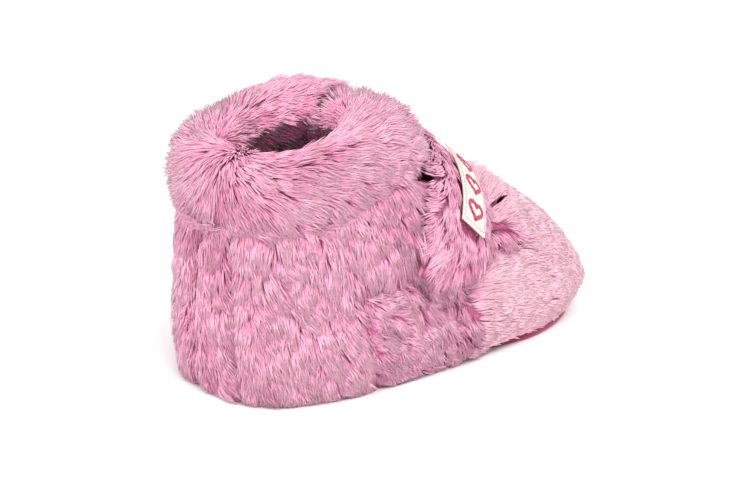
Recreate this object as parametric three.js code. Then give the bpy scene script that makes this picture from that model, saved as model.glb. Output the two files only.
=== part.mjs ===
// Plush bootie for a baby's right foot, in millimetres. +X runs to the toe, +Y to the inner side of
// the foot, +Z up. The origin lies on the ground under the middle of the bootie. Outer faces stand at
// the tips of the pile.
import * as THREE from "three";

// The foot's level sections: height, then the value at that height.
const TOE_AT = [[0, 60.5], [6, 63], [14, 63.2], [30, 53], [40, 40.5], [47, 26.5], [53, 8], [60, -12]];
const HEEL_AT = [[0, -61], [6, -63], [26, -63.5], [44, -61.6], [60, -55.6]];
const HALF_WIDTH_AT = [[0, 29], [8, 33], [14, 34], [26, 33], [42, 31.2], [60, 26]];
const WIDEST_AT = [[0, 6], [30, -2], [60, -30]];
// Exponents of the section's two ends: 2 is an ellipse, more is boxier.
const ROUND_TOE_AT = [[0, 3.1], [16, 3.1], [44, 2.1], [60, 2.1]];
const ROUND_HEEL = 3;
const TOE_LIFT = 1.5; // how far the tip of the sole is lifted
const LIFT_FROM = 26; // where along the foot the lift starts
const LIFT_FADE = 34; // height where the lift has died out

// The upper's panels on a grid of columns from the toe round to the heel, and rows up the wall.
const COLUMNS = 20; // in each half of the foot
const THROAT_COLUMN = 6; // where the tongue meets the side panels
const WING_COLUMN = 14; // where the vamp's wings end
const HEEL_COLUMN = 19; // where the side panels end
const LOWER_ROWS = 4; // rows below the top of the wings
const ROWS = 8;
const WALL_FOOT = 2.9; // height of the wall's lower edge
const WING_TOP = 29.5;
const THROAT = 41; // height where the vamp ends and the tongue begins
const TONGUE_TOP = 52;
const PLUSH = 6; // backing and pile of the outer panels
const LINING = 4.2; // backing and pile of the lining
const GAP = 0.3; // air between two layers that touch
const SEAM = 0.5; // degrees left free at each side of an upright seam
const THROAT_SEAM = 1.7; // the same round the throat, where the strap presses the edges together

const OUTSOLE = 2.6;
const FOAM = 3;
const INSOLE = 4;
const SOLE_INSET = 12.4; // from the wall's outer face to the rim of the foam and the insole

// The rolled cuff stands on the wall's upper edge and is slit at the front.
const CUFF = { heel: -63.5, front: -4, middle: -32, side: 29.5, slit: 3.5 };
const CUFF_BOXY = { heel: 2.7, front: 3.3 }; // exponents of its outline, seen from above
const CUFF_SECTION = 2.5; // exponent of the roll's section
const CUFF_SPLAY = 5; // how far the roll's lower edge stands ahead of its crest, at the front
const CUFF_SWELLS_FROM = -0.2; // cosine of the angle round the ankle where the front's form starts
const CUFF_BOXED_AT = 0.8; // and where its outline is fully that of the front
const CUFF_ENDS = [0.8, 0.96]; // the first sections at each side of the slit, as a share of a full one
const CUFF_ROLL = { heel: 16.5, front: 23 }; // how thick the roll is, seen from above
const CUFF_LOW = { heel: 45, front: 52 };
const CUFF_TOP = { heel: 67.5, front: 77 };

// The strap's outer face is an arch in a plane that leans to the toe, and across it the strap slopes
// down to the toe. Up is measured from the arch's top, along the plane.
const ARCH = { x: 13.5, z: 57.5, lean: 33, slope: 42, side: 35.4, tall: 38, boxy: 2.3 };
const STRAP_HALF = { top: 15, end: 12 }; // half its width over the foot, and at the ground
const STRAP_PLUSH = 3.6;
const STRAP_BACKING = 1;
const FAR_END_UP = -33;
const FAR_FOLD_UP = -22; // where the strap leaves the panel that it is sewn to
const NEAR_END_UP = -33.5; // in the middle of the free end, which is cut level with the ground
const TAB_FOLD_Y = -6; // where the free tab starts
const HOOK = 0.8; // thickness of the hook patch, and of the loop patch
const HOOK_FROM_UP = -20; // the patches start below the tongue
const HOOK_INSET = 2.5;
const FLOOR_BLEND = { from: 2.5, to: 8 }; // beside the strap, where the pile under it recovers
const FOOT_FADE = { from: -10, to: -4 }; // heights over the arch's foot where the pressing starts
const PATCH_SIDE = { from: 8, to: 20 }; // distances to the outer side where room for the patches opens
const PRESSED = 0.6; // thickness of the upper's layers under the strap, as a share of their own
const SLACK = 3; // between the strap and the pile where no patch lies under it

const LABEL = { fromUp: -3, toUp: -21, halfWidth: 5.6, thick: 0.5 };

const PINK = 0xe3a5bf;
const DEEP_PINK = 0xb8557f;
const RASPBERRY = 0x8a2446;
const CREAM = 0xe6dccb;
const FOAM_WHITE = 0xf1ede6;

const finish = (color, roughness) => new THREE.MeshStandardMaterial({ color, roughness, metalness: 0 });
const plush = finish(PINK, 0.95);
const liningPlush = finish(DEEP_PINK, 0.95);
const suede = finish(RASPBERRY, 0.9);
const cotton = finish(CREAM, 0.85);
const foam = finish(FOAM_WHITE, 0.9);
const tape = finish(PINK, 0.7);

const { lerp: mix, smoothstep, clamp, degToRad } = THREE.MathUtils;

// A smooth curve through [position, value] knots, as a function of the position.
function curveThrough(knots) {
  const last = knots.length - 1;
  const slopes = knots.map((_, i) => {
    const before = knots[Math.max(i - 1, 0)];
    const after = knots[Math.min(i + 1, last)];
    return (after[1] - before[1]) / (after[0] - before[0]);
  });
  return (position) => {
    const i = clamp(knots.findLastIndex((knot) => knot[0] <= position), 0, last - 1);
    const span = knots[i + 1][0] - knots[i][0];
    const t = (position - knots[i][0]) / span;
    const s = 1 - t;
    const values = knots[i][1] * s * s * (1 + 2 * t) + knots[i + 1][1] * t * t * (1 + 2 * s);
    return values + span * s * t * (slopes[i] * s - slopes[i + 1] * t);
  };
}

const toeAt = curveThrough(TOE_AT);
const heelAt = curveThrough(HEEL_AT);
const halfWidthAt = curveThrough(HALF_WIDTH_AT);
const widestAt = curveThrough(WIDEST_AT);
const roundToeAt = curveThrough(ROUND_TOE_AT);

// Distance from the centre of a superellipse to its edge, in the direction of an angle.
function superRadius(angle, reach, side, power) {
  const ahead = Math.abs(Math.cos(angle) / reach) ** power;
  const beside = Math.abs(Math.sin(angle) / side) ** power;
  return (ahead + beside) ** (-1 / power);
}

// A point on the foot's level section, at an angle from the toe in degrees.
function sectionPoint(degrees, height, inset = 0) {
  const angle = degToRad(degrees);
  const middle = widestAt(height);
  const front = Math.cos(angle) > 0;
  const reach = front ? toeAt(height) - middle : middle - heelAt(height);
  const power = front ? roundToeAt(height) : ROUND_HEEL;
  const r = superRadius(angle, reach - inset, halfWidthAt(height) - inset, power);
  return new THREE.Vector3(middle + r * Math.cos(angle), r * Math.sin(angle), height);
}

// Angles that space the columns evenly round the foot, from the toe to the heel.
function evenAngles(count, height) {
  const STEPS = 720;
  const at = (i) => sectionPoint((180 * i) / STEPS, height);
  const lengths = [0];
  for (let i = 1; i <= STEPS; i++) lengths.push(lengths[i - 1] + at(i).distanceTo(at(i - 1)));
  const angleAt = (length) => (180 * lengths.findIndex((reached) => reached >= length - 1e-9)) / STEPS;
  return Array.from({ length: count + 1 }, (_, i) => angleAt((lengths[STEPS] * i) / count));
}

const columnAngles = evenAngles(COLUMNS, WING_TOP / 2);
const columnAngle = (i) => Math.sign(i) * columnAngles[Math.abs(i)];

// Lifts the front of the sole off the ground.
function toeLift(point) {
  const share = Math.max(0, point.x - LIFT_FROM) / (TOE_AT[0][1] - LIFT_FROM);
  point.z += TOE_LIFT * share * share * (1 - smoothstep(point.z, 0, LIFT_FADE));
  return point;
}

// Height of the cuff's lower edge over a place along the foot.
function cuffLowAt(x) {
  return mix(CUFF_LOW.heel, CUFF_LOW.front, smoothstep(x, CUFF.heel, CUFF.front));
}

// The strap's directions: across it, and up along its leaning plane.
const lean = degToRad(ARCH.lean);
const slope = degToRad(ARCH.slope);
const acrossAxis = new THREE.Vector3(Math.cos(slope), 0, -Math.sin(slope));
const upAxis = new THREE.Vector3(Math.sin(lean), 0, Math.cos(lean));
const archTop = new THREE.Vector3(ARCH.x, 0, ARCH.z);
// How far a cut level with the ground climbs the arch for each mm across the strap.
const LEVEL_CUT = Math.sin(slope) / Math.cos(lean);

// Distance from the arch's centre to a face that lies a depth under the strap's outer face.
function archRadius(angle, depth) {
  return superRadius(angle, ARCH.side - depth, ARCH.tall - depth, ARCH.boxy);
}

// The angle on the arch, from the inner side over the top, where the strap's face meets a condition.
function archAngle(reached) {
  const BELOW = 0.4; // how far past level, in radians, an end may hang
  let low = 0;
  let high = Math.PI + BELOW;
  while (high - low > 1e-6) {
    const middle = (low + high) / 2;
    if (reached(archRadius(middle, 0), middle)) high = middle;
    else low = middle;
  }
  return low;
}
const isOver = (angle) => angle > Math.PI / 2;
const upAt = (r, angle) => r * Math.sin(angle) - ARCH.tall;
const farAngle = (up) => archAngle((r, angle) => isOver(angle) || upAt(r, angle) > up);
const nearAngle = (up) => archAngle((r, angle) => isOver(angle) && upAt(r, angle) < up);
const sideAngle = (y) => archAngle((r, angle) => r * Math.cos(angle) < y);

// A point of a layer of the strap, at an angle on the arch and a distance across it.
function archPoint(angle, across, depth) {
  const r = archRadius(angle, depth);
  const point = archTop.clone().addScaledVector(acrossAxis, across);
  point.addScaledVector(upAxis, upAt(r, angle));
  point.y = r * Math.cos(angle);
  return point;
}

// Half the strap's width at an angle on the arch: widest over the foot, narrower to both ends.
function strapHalf(angle) {
  return mix(STRAP_HALF.end, STRAP_HALF.top, Math.sin(angle) ** 2);
}

const backingDepth = STRAP_PLUSH + GAP;
const hookDepth = backingDepth + STRAP_BACKING + GAP;
const loopDepth = hookDepth + HOOK + GAP;
const floorDepth = loopDepth + HOOK + 2 * GAP;

// Where a point lies against the strap: how far across it, and how far up from the arch's foot.
function strapPlace(point) {
  const from = point.clone().sub(archTop);
  const skew = Math.cos(slope - lean);
  const across = (from.x * upAxis.z - from.z * upAxis.x) / skew;
  const rise = (from.x * Math.sin(slope) + from.z * Math.cos(slope)) / skew + ARCH.tall;
  return [across, rise];
}

// How much the strap presses a point of the upper's outer face: 1 right under it, 0 well beside it.
function pressAt(point) {
  const [across, rise] = strapPlace(point);
  const beside = Math.abs(across) - strapHalf(Math.atan2(rise, point.y));
  const shut = smoothstep(beside, FLOOR_BLEND.from, FLOOR_BLEND.to);
  return (1 - shut) * smoothstep(rise, FOOT_FADE.from, FOOT_FADE.to);
}

// A point of the upper, sunk below its outer face by a depth. The lower edge is sunk level.
function upperPoint(degrees, height, depth) {
  const point = sectionPoint(degrees, height);
  const STEP = 0.5;
  const along = sectionPoint(degrees + STEP, height).sub(sectionPoint(degrees - STEP, height));
  const upward = sectionPoint(degrees, height + STEP).sub(sectionPoint(degrees, height - STEP));
  const normal = along.cross(upward).normalize();
  normal.z *= smoothstep(height, WALL_FOOT, WING_TOP / 2);
  normal.normalize();
  return toeLift(point.addScaledVector(normal, -depth));
}

// A point of the upper, a depth below its outer face. Where the strap crosses it, the wall is pressed.
function pressedPoint(degrees, height, depth) {
  const press = pressAt(upperPoint(degrees, height, 0));
  const point = upperPoint(degrees, height, depth);
  const [, rise] = strapPlace(point);
  const angle = Math.atan2(rise, point.y);
  const patched = smoothstep(-point.y, PATCH_SIDE.from, PATCH_SIDE.to);
  const floor = mix(hookDepth + SLACK, floorDepth, patched) + PRESSED * depth;
  const sink = Math.max(0, Math.hypot(rise, point.y) - archRadius(angle, floor)) * press;
  point.addScaledVector(upAxis, -sink * Math.sin(angle));
  point.y -= sink * Math.cos(angle);
  return point;
}

// A closed body from points and faces, turned so that its faces point out.
function closedBody(points, faces) {
  const corner = ([a, b, c]) => points[a].dot(points[b].clone().cross(points[c]));
  const volume = faces.reduce((sum, face) => sum + corner(face), 0);
  const turned = volume < 0 ? faces.map(([a, b, c]) => [a, c, b]) : faces;
  const geometry = new THREE.BufferGeometry().setFromPoints(points);
  geometry.setIndex(turned.flat());
  geometry.computeVertexNormals();
  return geometry;
}

// A sheet with a thickness over the chosen cells of a grid, walled wherever a cell has no neighbour.
function sheet(outer, inner, columns, rows, hasCell = () => true) {
  const points = [];
  const faces = [];
  const known = new Map();
  const has = (i, j) => i >= 0 && j >= 0 && i < columns && j < rows && hasCell(i, j);
  const vertex = (face, i, j) => {
    const key = `${face === outer} ${i} ${j}`;
    if (!known.has(key)) known.set(key, points.push(face(i, j)) - 1);
    return known.get(key);
  };
  const quad = (a, b, c, d) => faces.push([a, b, c], [a, c, d]);
  for (let j = 0; j < rows; j++)
    for (let i = 0; i < columns; i++) {
      if (!has(i, j)) continue;
      const corners = [[i, j], [i + 1, j], [i + 1, j + 1], [i, j + 1]];
      const beyond = [[i, j - 1], [i + 1, j], [i, j + 1], [i - 1, j]];
      const [a, b, c, d] = corners.map(([k, l]) => vertex(outer, k, l));
      const [e, f, g, h] = corners.map(([k, l]) => vertex(inner, k, l));
      quad(a, b, c, d);
      quad(g, f, e, h);
      const walls = [[b, a, e, f], [c, b, f, g], [d, c, g, h], [a, d, h, e]];
      walls.forEach((wall, side) => has(...beyond[side]) || quad(...wall));
    }
  return closedBody(points, faces);
}

// Rings of equal length joined one to the next, with both ends closed by a point at their middle.
function stackedRings(rings) {
  const sides = rings[0].length;
  const points = rings.flat();
  const faces = [];
  for (let j = 0; j < rings.length - 1; j++)
    for (let i = 0; i < sides; i++) {
      const [a, b] = [j * sides + i, j * sides + ((i + 1) % sides)];
      faces.push([a, b, b + sides], [a, b + sides, a + sides]);
    }
  for (const ring of [0, rings.length - 1]) {
    const centre = new THREE.Vector3();
    rings[ring].forEach((point) => centre.addScaledVector(point, 1 / sides));
    points.push(centre);
    for (let i = 0; i < sides; i++) {
      const [a, b] = [ring * sides + i, ring * sides + ((i + 1) % sides)];
      faces.push(ring ? [a, b, points.length - 1] : [b, a, points.length - 1]);
    }
  }
  return closedBody(points, faces);
}

// A flat layer of the sole: rings from the middle of its underside out to the rim and back over the top.
function soleLayer(section, inset, bottom, thickness, edge) {
  const SIDES = 32;
  const SHARES = [0.3, 0.6, 0.85];
  const ring = (share, extra, height) =>
    Array.from({ length: SIDES }, (_, i) => {
      const point = sectionPoint((360 * i) / SIDES, section, inset + extra);
      point.x *= share;
      point.y *= share;
      point.z = height;
      return toeLift(point);
    });
  const top = bottom + thickness;
  return stackedRings([
    ...SHARES.map((share) => ring(share, edge, bottom)),
    ring(1, edge, bottom),
    ring(1, 0, bottom + edge),
    ring(1, 0, top - edge / 2),
    ring(1, edge, top),
    ...SHARES.toReversed().map((share) => ring(share, edge, top)),
  ]);
}

const group = new THREE.Group();

function add(name, geometry, material) {
  const mesh = new THREE.Mesh(geometry, material);
  mesh.name = name;
  group.add(mesh);
}

function addSole() {
  const foamBottom = OUTSOLE + GAP;
  const insoleBottom = foamBottom + FOAM + GAP;
  add("outsole", soleLayer(0, 0, 0, OUTSOLE, 0.8), suede);
  add("sole_foam", soleLayer(foamBottom, SOLE_INSET, foamBottom, FOAM, 0.5), foam);
  add("insole", soleLayer(insoleBottom, SOLE_INSET, insoleBottom, INSOLE, 1), liningPlush);
}

// Adds one panel of the upper and the lining behind it. Each covers the columns from first to last; hasCell
// picks the cells, top gives the upper edge over a column, and nudge draws the seams apart.
function addPanel(name, { first, last, hasCell, top, nudge }) {
  const face = (depth) => (i, j) => {
    const column = first + i;
    const lower = mix(WALL_FOOT, WING_TOP, j / LOWER_ROWS);
    const upper = mix(WING_TOP, top(column), (j - LOWER_ROWS) / (ROWS - LOWER_ROWS));
    const height = j <= LOWER_ROWS ? lower : upper;
    const [turn, lift] = nudge(column, j);
    return pressedPoint(columnAngle(column) + turn, height + lift, depth);
  };
  const isCell = (i, j) => hasCell(first + i, j);
  const build = (from, to) => sheet(face(from), face(to), last - first, ROWS, isCell);
  add(`${name}_panel`, build(0, PLUSH), plush);
  add(`${name}_lining`, build(PLUSH + GAP, PLUSH + GAP + LINING), liningPlush);
}

// Upper edge of the wall over a column: close under the cuff.
function wallTop(column) {
  const TRIES = 4;
  let height = CUFF_LOW.front;
  for (let i = 0; i < TRIES; i++) height = cuffLowAt(sectionPoint(columnAngle(column), height).x) - GAP;
  return height;
}

function addUpper() {
  const onWing = (column) => Math.abs(column) >= THROAT_COLUMN && Math.abs(column) <= WING_COLUMN;
  const onWingTop = (column, j) => j === LOWER_ROWS && onWing(column);
  addPanel("vamp", {
    first: -WING_COLUMN,
    last: WING_COLUMN,
    hasCell: (column, j) => j < LOWER_ROWS || (column >= -THROAT_COLUMN && column < THROAT_COLUMN),
    top: () => THROAT,
    nudge: (column, j) => {
      const atWingEnd = Math.abs(column) === WING_COLUMN ? SEAM : 0;
      const atThroat = Math.abs(column) === THROAT_COLUMN && j >= LOWER_ROWS ? THROAT_SEAM : 0;
      return [-Math.sign(column) * (atWingEnd + atThroat), onWingTop(column, j) ? -GAP : 0];
    },
  });
  for (const [name, side] of [["side_right", -1], ["side_left", 1]]) {
    const columns = [side * THROAT_COLUMN, side * HEEL_COLUMN].toSorted((a, b) => a - b);
    addPanel(name, {
      first: columns[0],
      last: columns[1],
      hasCell: (column, j) => j >= LOWER_ROWS || Math.abs(column + 0.5) > WING_COLUMN,
      top: wallTop,
      nudge: (column, j) => {
        const atWingEnd = Math.abs(column) === WING_COLUMN && j <= LOWER_ROWS;
        const ahead = Math.abs(column) === THROAT_COLUMN || atWingEnd;
        const behind = Math.abs(column) === HEEL_COLUMN;
        return [side * SEAM * (ahead ? 1 : behind ? -1 : 0), onWingTop(column, j) ? GAP : 0];
      },
    });
  }
  addHeel();
}

// The narrow strip up the back of the heel.
function addHeel() {
  const COLUMNS_BEHIND = 2;
  const first = columnAngle(HEEL_COLUMN) + SEAM;
  const face = (depth) => (i, j) => {
    const lower = mix(WALL_FOOT, WING_TOP, j / LOWER_ROWS);
    const upper = mix(WING_TOP, wallTop(COLUMNS), (j - LOWER_ROWS) / (ROWS - LOWER_ROWS));
    return upperPoint(mix(first, 360 - first, i / COLUMNS_BEHIND), j <= LOWER_ROWS ? lower : upper, depth);
  };
  const build = (from, to) => sheet(face(from), face(to), COLUMNS_BEHIND, ROWS);
  add("heel_panel", build(0, PLUSH), plush);
  add("heel_lining", build(PLUSH + GAP, PLUSH + GAP + LINING), liningPlush);
}

// The tongue fills the throat between the side panels, under the strap.
function addTongue() {
  const ROWS_UP = 4;
  const face = (depth) => (i, j) => {
    const height = mix(THROAT + 2 * GAP, TONGUE_TOP, j / ROWS_UP);
    const column = i - THROAT_COLUMN;
    const turn = Math.abs(column) === THROAT_COLUMN ? -Math.sign(column) * THROAT_SEAM : 0;
    return pressedPoint(columnAngle(column) + turn, height, depth);
  };
  add("tongue", sheet(face(0), face(PLUSH), 2 * THROAT_COLUMN, ROWS_UP), plush);
}

// The rolled cuff: an egg-shaped roll swept round the ankle, from one side of the front slit to the other.
function addCuff() {
  const STATIONS = 30;
  const SIDES = 14;
  const frontShare = (angle, full) => smoothstep(Math.cos(angle), CUFF_SWELLS_FROM, full);
  const rollAt = (angle) => mix(CUFF_ROLL.heel, CUFF_ROLL.front, frontShare(angle, 1));
  const outline = (angle, inset) => {
    const reach = (Math.cos(angle) > 0 ? CUFF.front - CUFF.middle : CUFF.middle - CUFF.heel) - inset;
    const power = mix(CUFF_BOXY.heel, CUFF_BOXY.front, frontShare(angle, CUFF_BOXED_AT));
    const r = superRadius(angle, reach, CUFF.side - inset, power);
    return [CUFF.middle + r * Math.cos(angle), r * Math.sin(angle)];
  };
  const slitAngle = Math.atan2(CUFF.slit, CUFF.front - CUFF.middle - CUFF_ROLL.front / 2);
  const rings = Array.from({ length: STATIONS + 1 }, (_, k) => {
    const angle = mix(slitAngle, 2 * Math.PI - slitAngle, k / STATIONS);
    const half = rollAt(angle) / 2;
    const [x] = outline(angle, half);
    const low = cuffLowAt(outline(angle, 0)[0]);
    const top = mix(CUFF_TOP.heel, CUFF_TOP.front, smoothstep(x, CUFF.heel, CUFF.front));
    const plump = CUFF_ENDS[Math.min(k, STATIONS - k)] ?? 1;
    return Array.from({ length: SIDES }, (_, i) => {
      const turn = (2 * Math.PI * (i + 0.5)) / SIDES;
      const r = superRadius(turn, 1, 1, CUFF_SECTION) * plump;
      const [px, py] = outline(angle, half - half * r * Math.cos(turn));
      const climb = 0.5 + 0.5 * r * Math.sin(turn);
      const splay = CUFF_SPLAY * (1 - climb) * smoothstep(Math.cos(angle), 0, 1);
      return new THREE.Vector3(px + splay, py, mix(low, top, climb));
    });
  });
  add("cuff", stackedRings(rings), plush);
}

// A layer of the strap between two ends, each of them the angle on the arch at a distance across the strap.
function strapLayer([from, to], depth, thickness, half = strapHalf) {
  const ROUND = 0.6; // how far the rim is drawn in
  const STEP = 0.1; // radians in a column
  const across = 4;
  const columns = Math.max(3, Math.ceil((to(0) - from(0)) / STEP));
  const face = (down) => (i, j) => {
    const share = (2 * j) / across - 1;
    const edge = (half(mix(from(0), to(0), i / columns)) - ROUND) * share;
    return archPoint(mix(from(edge), to(edge), i / columns), edge, down);
  };
  return sheet(face(depth), face(depth + thickness), columns, across);
}

function addStrap() {
  const whole = STRAP_PLUSH + GAP + STRAP_BACKING;
  const CUT = 0.006; // radians left free at each side of a fold
  const square = (angle) => () => angle;
  const level = (up) => (edge) => nearAngle(up + LEVEL_CUT * edge);
  const pieces = {
    root: [square(farAngle(FAR_END_UP)), square(farAngle(FAR_FOLD_UP) - CUT)],
    band: [square(farAngle(FAR_FOLD_UP) + CUT), square(sideAngle(TAB_FOLD_Y) - CUT)],
    tab: [square(sideAngle(TAB_FOLD_Y) + CUT), level(NEAR_END_UP)],
  };
  add("strap_root", strapLayer(pieces.root, 0, whole), plush);
  for (const piece of ["band", "tab"]) {
    add(`strap_${piece}`, strapLayer(pieces[piece], 0, STRAP_PLUSH), plush);
    add(`strap_${piece}_backing`, strapLayer(pieces[piece], backingDepth, STRAP_BACKING), cotton);
  }
  const patch = [level(HOOK_FROM_UP), level(NEAR_END_UP + HOOK_INSET)];
  const patchHalf = (angle) => strapHalf(angle) - HOOK_INSET;
  add("hook_patch", strapLayer(patch, hookDepth, HOOK, patchHalf), tape);
  add("loop_patch", strapLayer(patch, loopDepth, HOOK, patchHalf), tape);
  const label = [square(nearAngle(LABEL.fromUp)), square(nearAngle(LABEL.toUp))];
  add("label", strapLayer(label, -GAP - LABEL.thick, LABEL.thick, () => LABEL.halfWidth), cotton);
}

addSole();
addUpper();
addTongue();
addCuff();
addStrap();

export default group;
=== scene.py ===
"""A plush bootie for a baby's right foot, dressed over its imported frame.

+X runs to the toe, +Y to the inner side of the foot and +Z up. Shapes are worked out in millimetres,
as whole numpy arrays, and go into Blender in metres.
"""

import logging
import math
from collections.abc import Callable
from dataclasses import dataclass, field
from enum import Enum

import bpy
import numpy as np
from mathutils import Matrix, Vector


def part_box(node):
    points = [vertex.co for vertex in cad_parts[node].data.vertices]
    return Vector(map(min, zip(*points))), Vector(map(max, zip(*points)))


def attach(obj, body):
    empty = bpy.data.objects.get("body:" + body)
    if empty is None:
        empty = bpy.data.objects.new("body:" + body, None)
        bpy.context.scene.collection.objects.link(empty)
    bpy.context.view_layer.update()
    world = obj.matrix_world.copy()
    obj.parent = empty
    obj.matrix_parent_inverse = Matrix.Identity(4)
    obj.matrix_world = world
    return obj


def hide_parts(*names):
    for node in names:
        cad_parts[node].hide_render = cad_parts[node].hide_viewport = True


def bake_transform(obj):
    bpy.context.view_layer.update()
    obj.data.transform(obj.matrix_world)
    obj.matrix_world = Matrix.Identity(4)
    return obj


LOG = logging.getLogger("bootie")
MM = 0.001
Knots = tuple[tuple[float, float], ...]
Array = np.ndarray
Surface = Callable[[Array, Array, float], Array]
AXIS_PRIMES = (73856093, 19349663, 83492791)  # multipliers that spread whole numbers over 32 bits
ROUND_TURN = 2 * math.pi


# ---------------------------------------------------------------- curves, noise and meshes


def curve(knots: Knots, at: Array) -> Array:
    """A smooth curve through knots: cubic pieces whose slope at a knot is that between its two neighbours.

    Args:
        knots: (position, value) pairs in rising order.
        at: positions to read.

    Returns:
        The value at each position.
    """
    x, y = np.array(knots, float).T
    slope = np.empty_like(y)
    slope[1:-1] = (y[2:] - y[:-2]) / (x[2:] - x[:-2])
    slope[0] = (y[1] - y[0]) / (x[1] - x[0])
    slope[-1] = (y[-1] - y[-2]) / (x[-1] - x[-2])
    at = np.asarray(at, float)
    i = np.clip(np.searchsorted(x, at, side="right") - 1, 0, len(x) - 2)
    span = x[i + 1] - x[i]
    t = (at - x[i]) / span
    s = 1 - t
    values = y[i] * s * s * (1 + 2 * t) + y[i + 1] * t * t * (1 + 2 * s)
    return values + span * s * t * (slope[i] * s - slope[i + 1] * t)


def smooth(value: Array, low: float, high: float) -> Array:
    """Smooth step from 0 at low to 1 at high."""
    t = np.clip((np.asarray(value, float) - low) / (high - low), 0, 1)
    return t * t * (3 - 2 * t)


def mix(a: Array, b: Array, share: Array) -> Array:
    """a where share is 0, b where it is 1."""
    return a + (b - a) * share


def unit(vectors: Array) -> Array:
    """Vectors scaled to length 1."""
    return vectors / np.maximum(np.linalg.norm(vectors, axis=-1, keepdims=True), 1e-9)


def super_radius(angle: Array, reach: Array, side: Array, power: Array) -> Array:
    """Distance from a superellipse's centre to its edge: (|cos/reach|^p + |sin/side|^p)^(-1/p)."""
    return (np.abs(np.cos(angle) / reach) ** power + np.abs(np.sin(angle) / side) ** power) ** (-1 / power)


def hashed(cells: Array, seed: int) -> Array:
    """Three repeatable random numbers from 0 to 1 for each whole-number cell."""
    whole = cells.astype(np.int64).astype(np.uint32)
    x, y, z = (whole[..., axis] * np.uint32(prime) for axis, prime in enumerate(AXIS_PRIMES))
    out = []
    for k in range(3):
        h = ((x ^ y ^ z) ^ np.uint32((seed * 7919 + k * 104729) & 0xFFFFFFFF)) * np.uint32(2654435761)
        h = (h ^ (h >> np.uint32(15))) * np.uint32(2246822519)
        h = (h ^ (h >> np.uint32(13))) * np.uint32(3266489917)
        out.append((h ^ (h >> np.uint32(16))) / 4294967296.0)
    return np.stack(out, -1)


def noise(points: Array, size: float, seed: int) -> Array:
    """Smooth random field from -1 to 1 over space: hashed lattice values blended along each axis."""
    p = points / size
    base = np.floor(p)
    f = p - base
    f = f * f * (3 - 2 * f)
    total = np.zeros(len(points))
    for corner in np.ndindex(2, 2, 2):
        weight = np.prod(np.where(np.array(corner) == 1, f, 1 - f), axis=-1)
        total += weight * hashed(base + corner, seed)[:, 0]
    return 2 * total - 1


def locks(points: Array, size: float, seed: int) -> tuple[Array, Array]:
    """Gathers points into locks: the nearest of the jittered centres of the cells round each point.

    Args:
        points: places in millimetres.
        size: distance between locks.
        seed: picks the jitter.

    Returns:
        The centre of each point's lock, and three random numbers that its lock shares.
    """
    cell = np.floor(points / size)
    best = np.full(len(points), np.inf)
    centre = np.zeros_like(points)
    shared = np.zeros_like(points)
    for offset in np.ndindex(3, 3, 3):
        near = cell + (np.array(offset) - 1)
        place = (near + hashed(near, seed)) * size
        distance = ((place - points) ** 2).sum(-1)
        closer = distance < best
        best[closer] = distance[closer]
        centre[closer] = place[closer]
        shared[closer] = hashed(near[closer], seed + 17)
    return centre, shared


def facing(surface: Surface, u: Array, v: Array, depth: float) -> tuple[Array, Array]:
    """Points of a surface and its outward unit normals, from the cross product of its two slopes."""
    step = 0.004
    along = surface(u + step, v, depth) - surface(u - step, v, depth)
    upward = surface(u, v + step, depth) - surface(u, v - step, depth)
    return surface(u, v, depth), unit(np.cross(along, upward))


def put_mesh(name: str, points: Array, faces: Array, attribute: Array | None = None) -> bpy.types.Object:
    """Makes an object from points in millimetres and faces that all have the same number of corners.

    Args:
        name: the piece's name.
        points: (n, 3) places.
        faces: (m, k) corners of each face, anticlockwise from outside.
        attribute: three numbers a point, kept as the "pile" attribute.

    Returns:
        The object, smooth shaded, at the origin.
    """
    mesh = bpy.data.meshes.new(name)
    mesh.vertices.add(len(points))
    mesh.vertices.foreach_set("co", (points * MM).astype(np.float32).ravel())
    mesh.loops.add(faces.size)
    mesh.loops.foreach_set("vertex_index", faces.astype(np.int32).ravel())
    mesh.polygons.add(len(faces))
    mesh.polygons.foreach_set("loop_start", np.arange(0, faces.size, faces.shape[1], dtype=np.int32))
    mesh.polygons.foreach_set("use_smooth", np.ones(len(faces), bool))
    mesh.update(calc_edges=True)
    if attribute is not None:
        layer = mesh.attributes.new("pile", "FLOAT_VECTOR", "POINT")
        layer.data.foreach_set("vector", attribute.astype(np.float32).ravel())
    obj = bpy.data.objects.new(name, mesh)
    bpy.context.scene.collection.objects.link(obj)
    return obj


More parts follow.
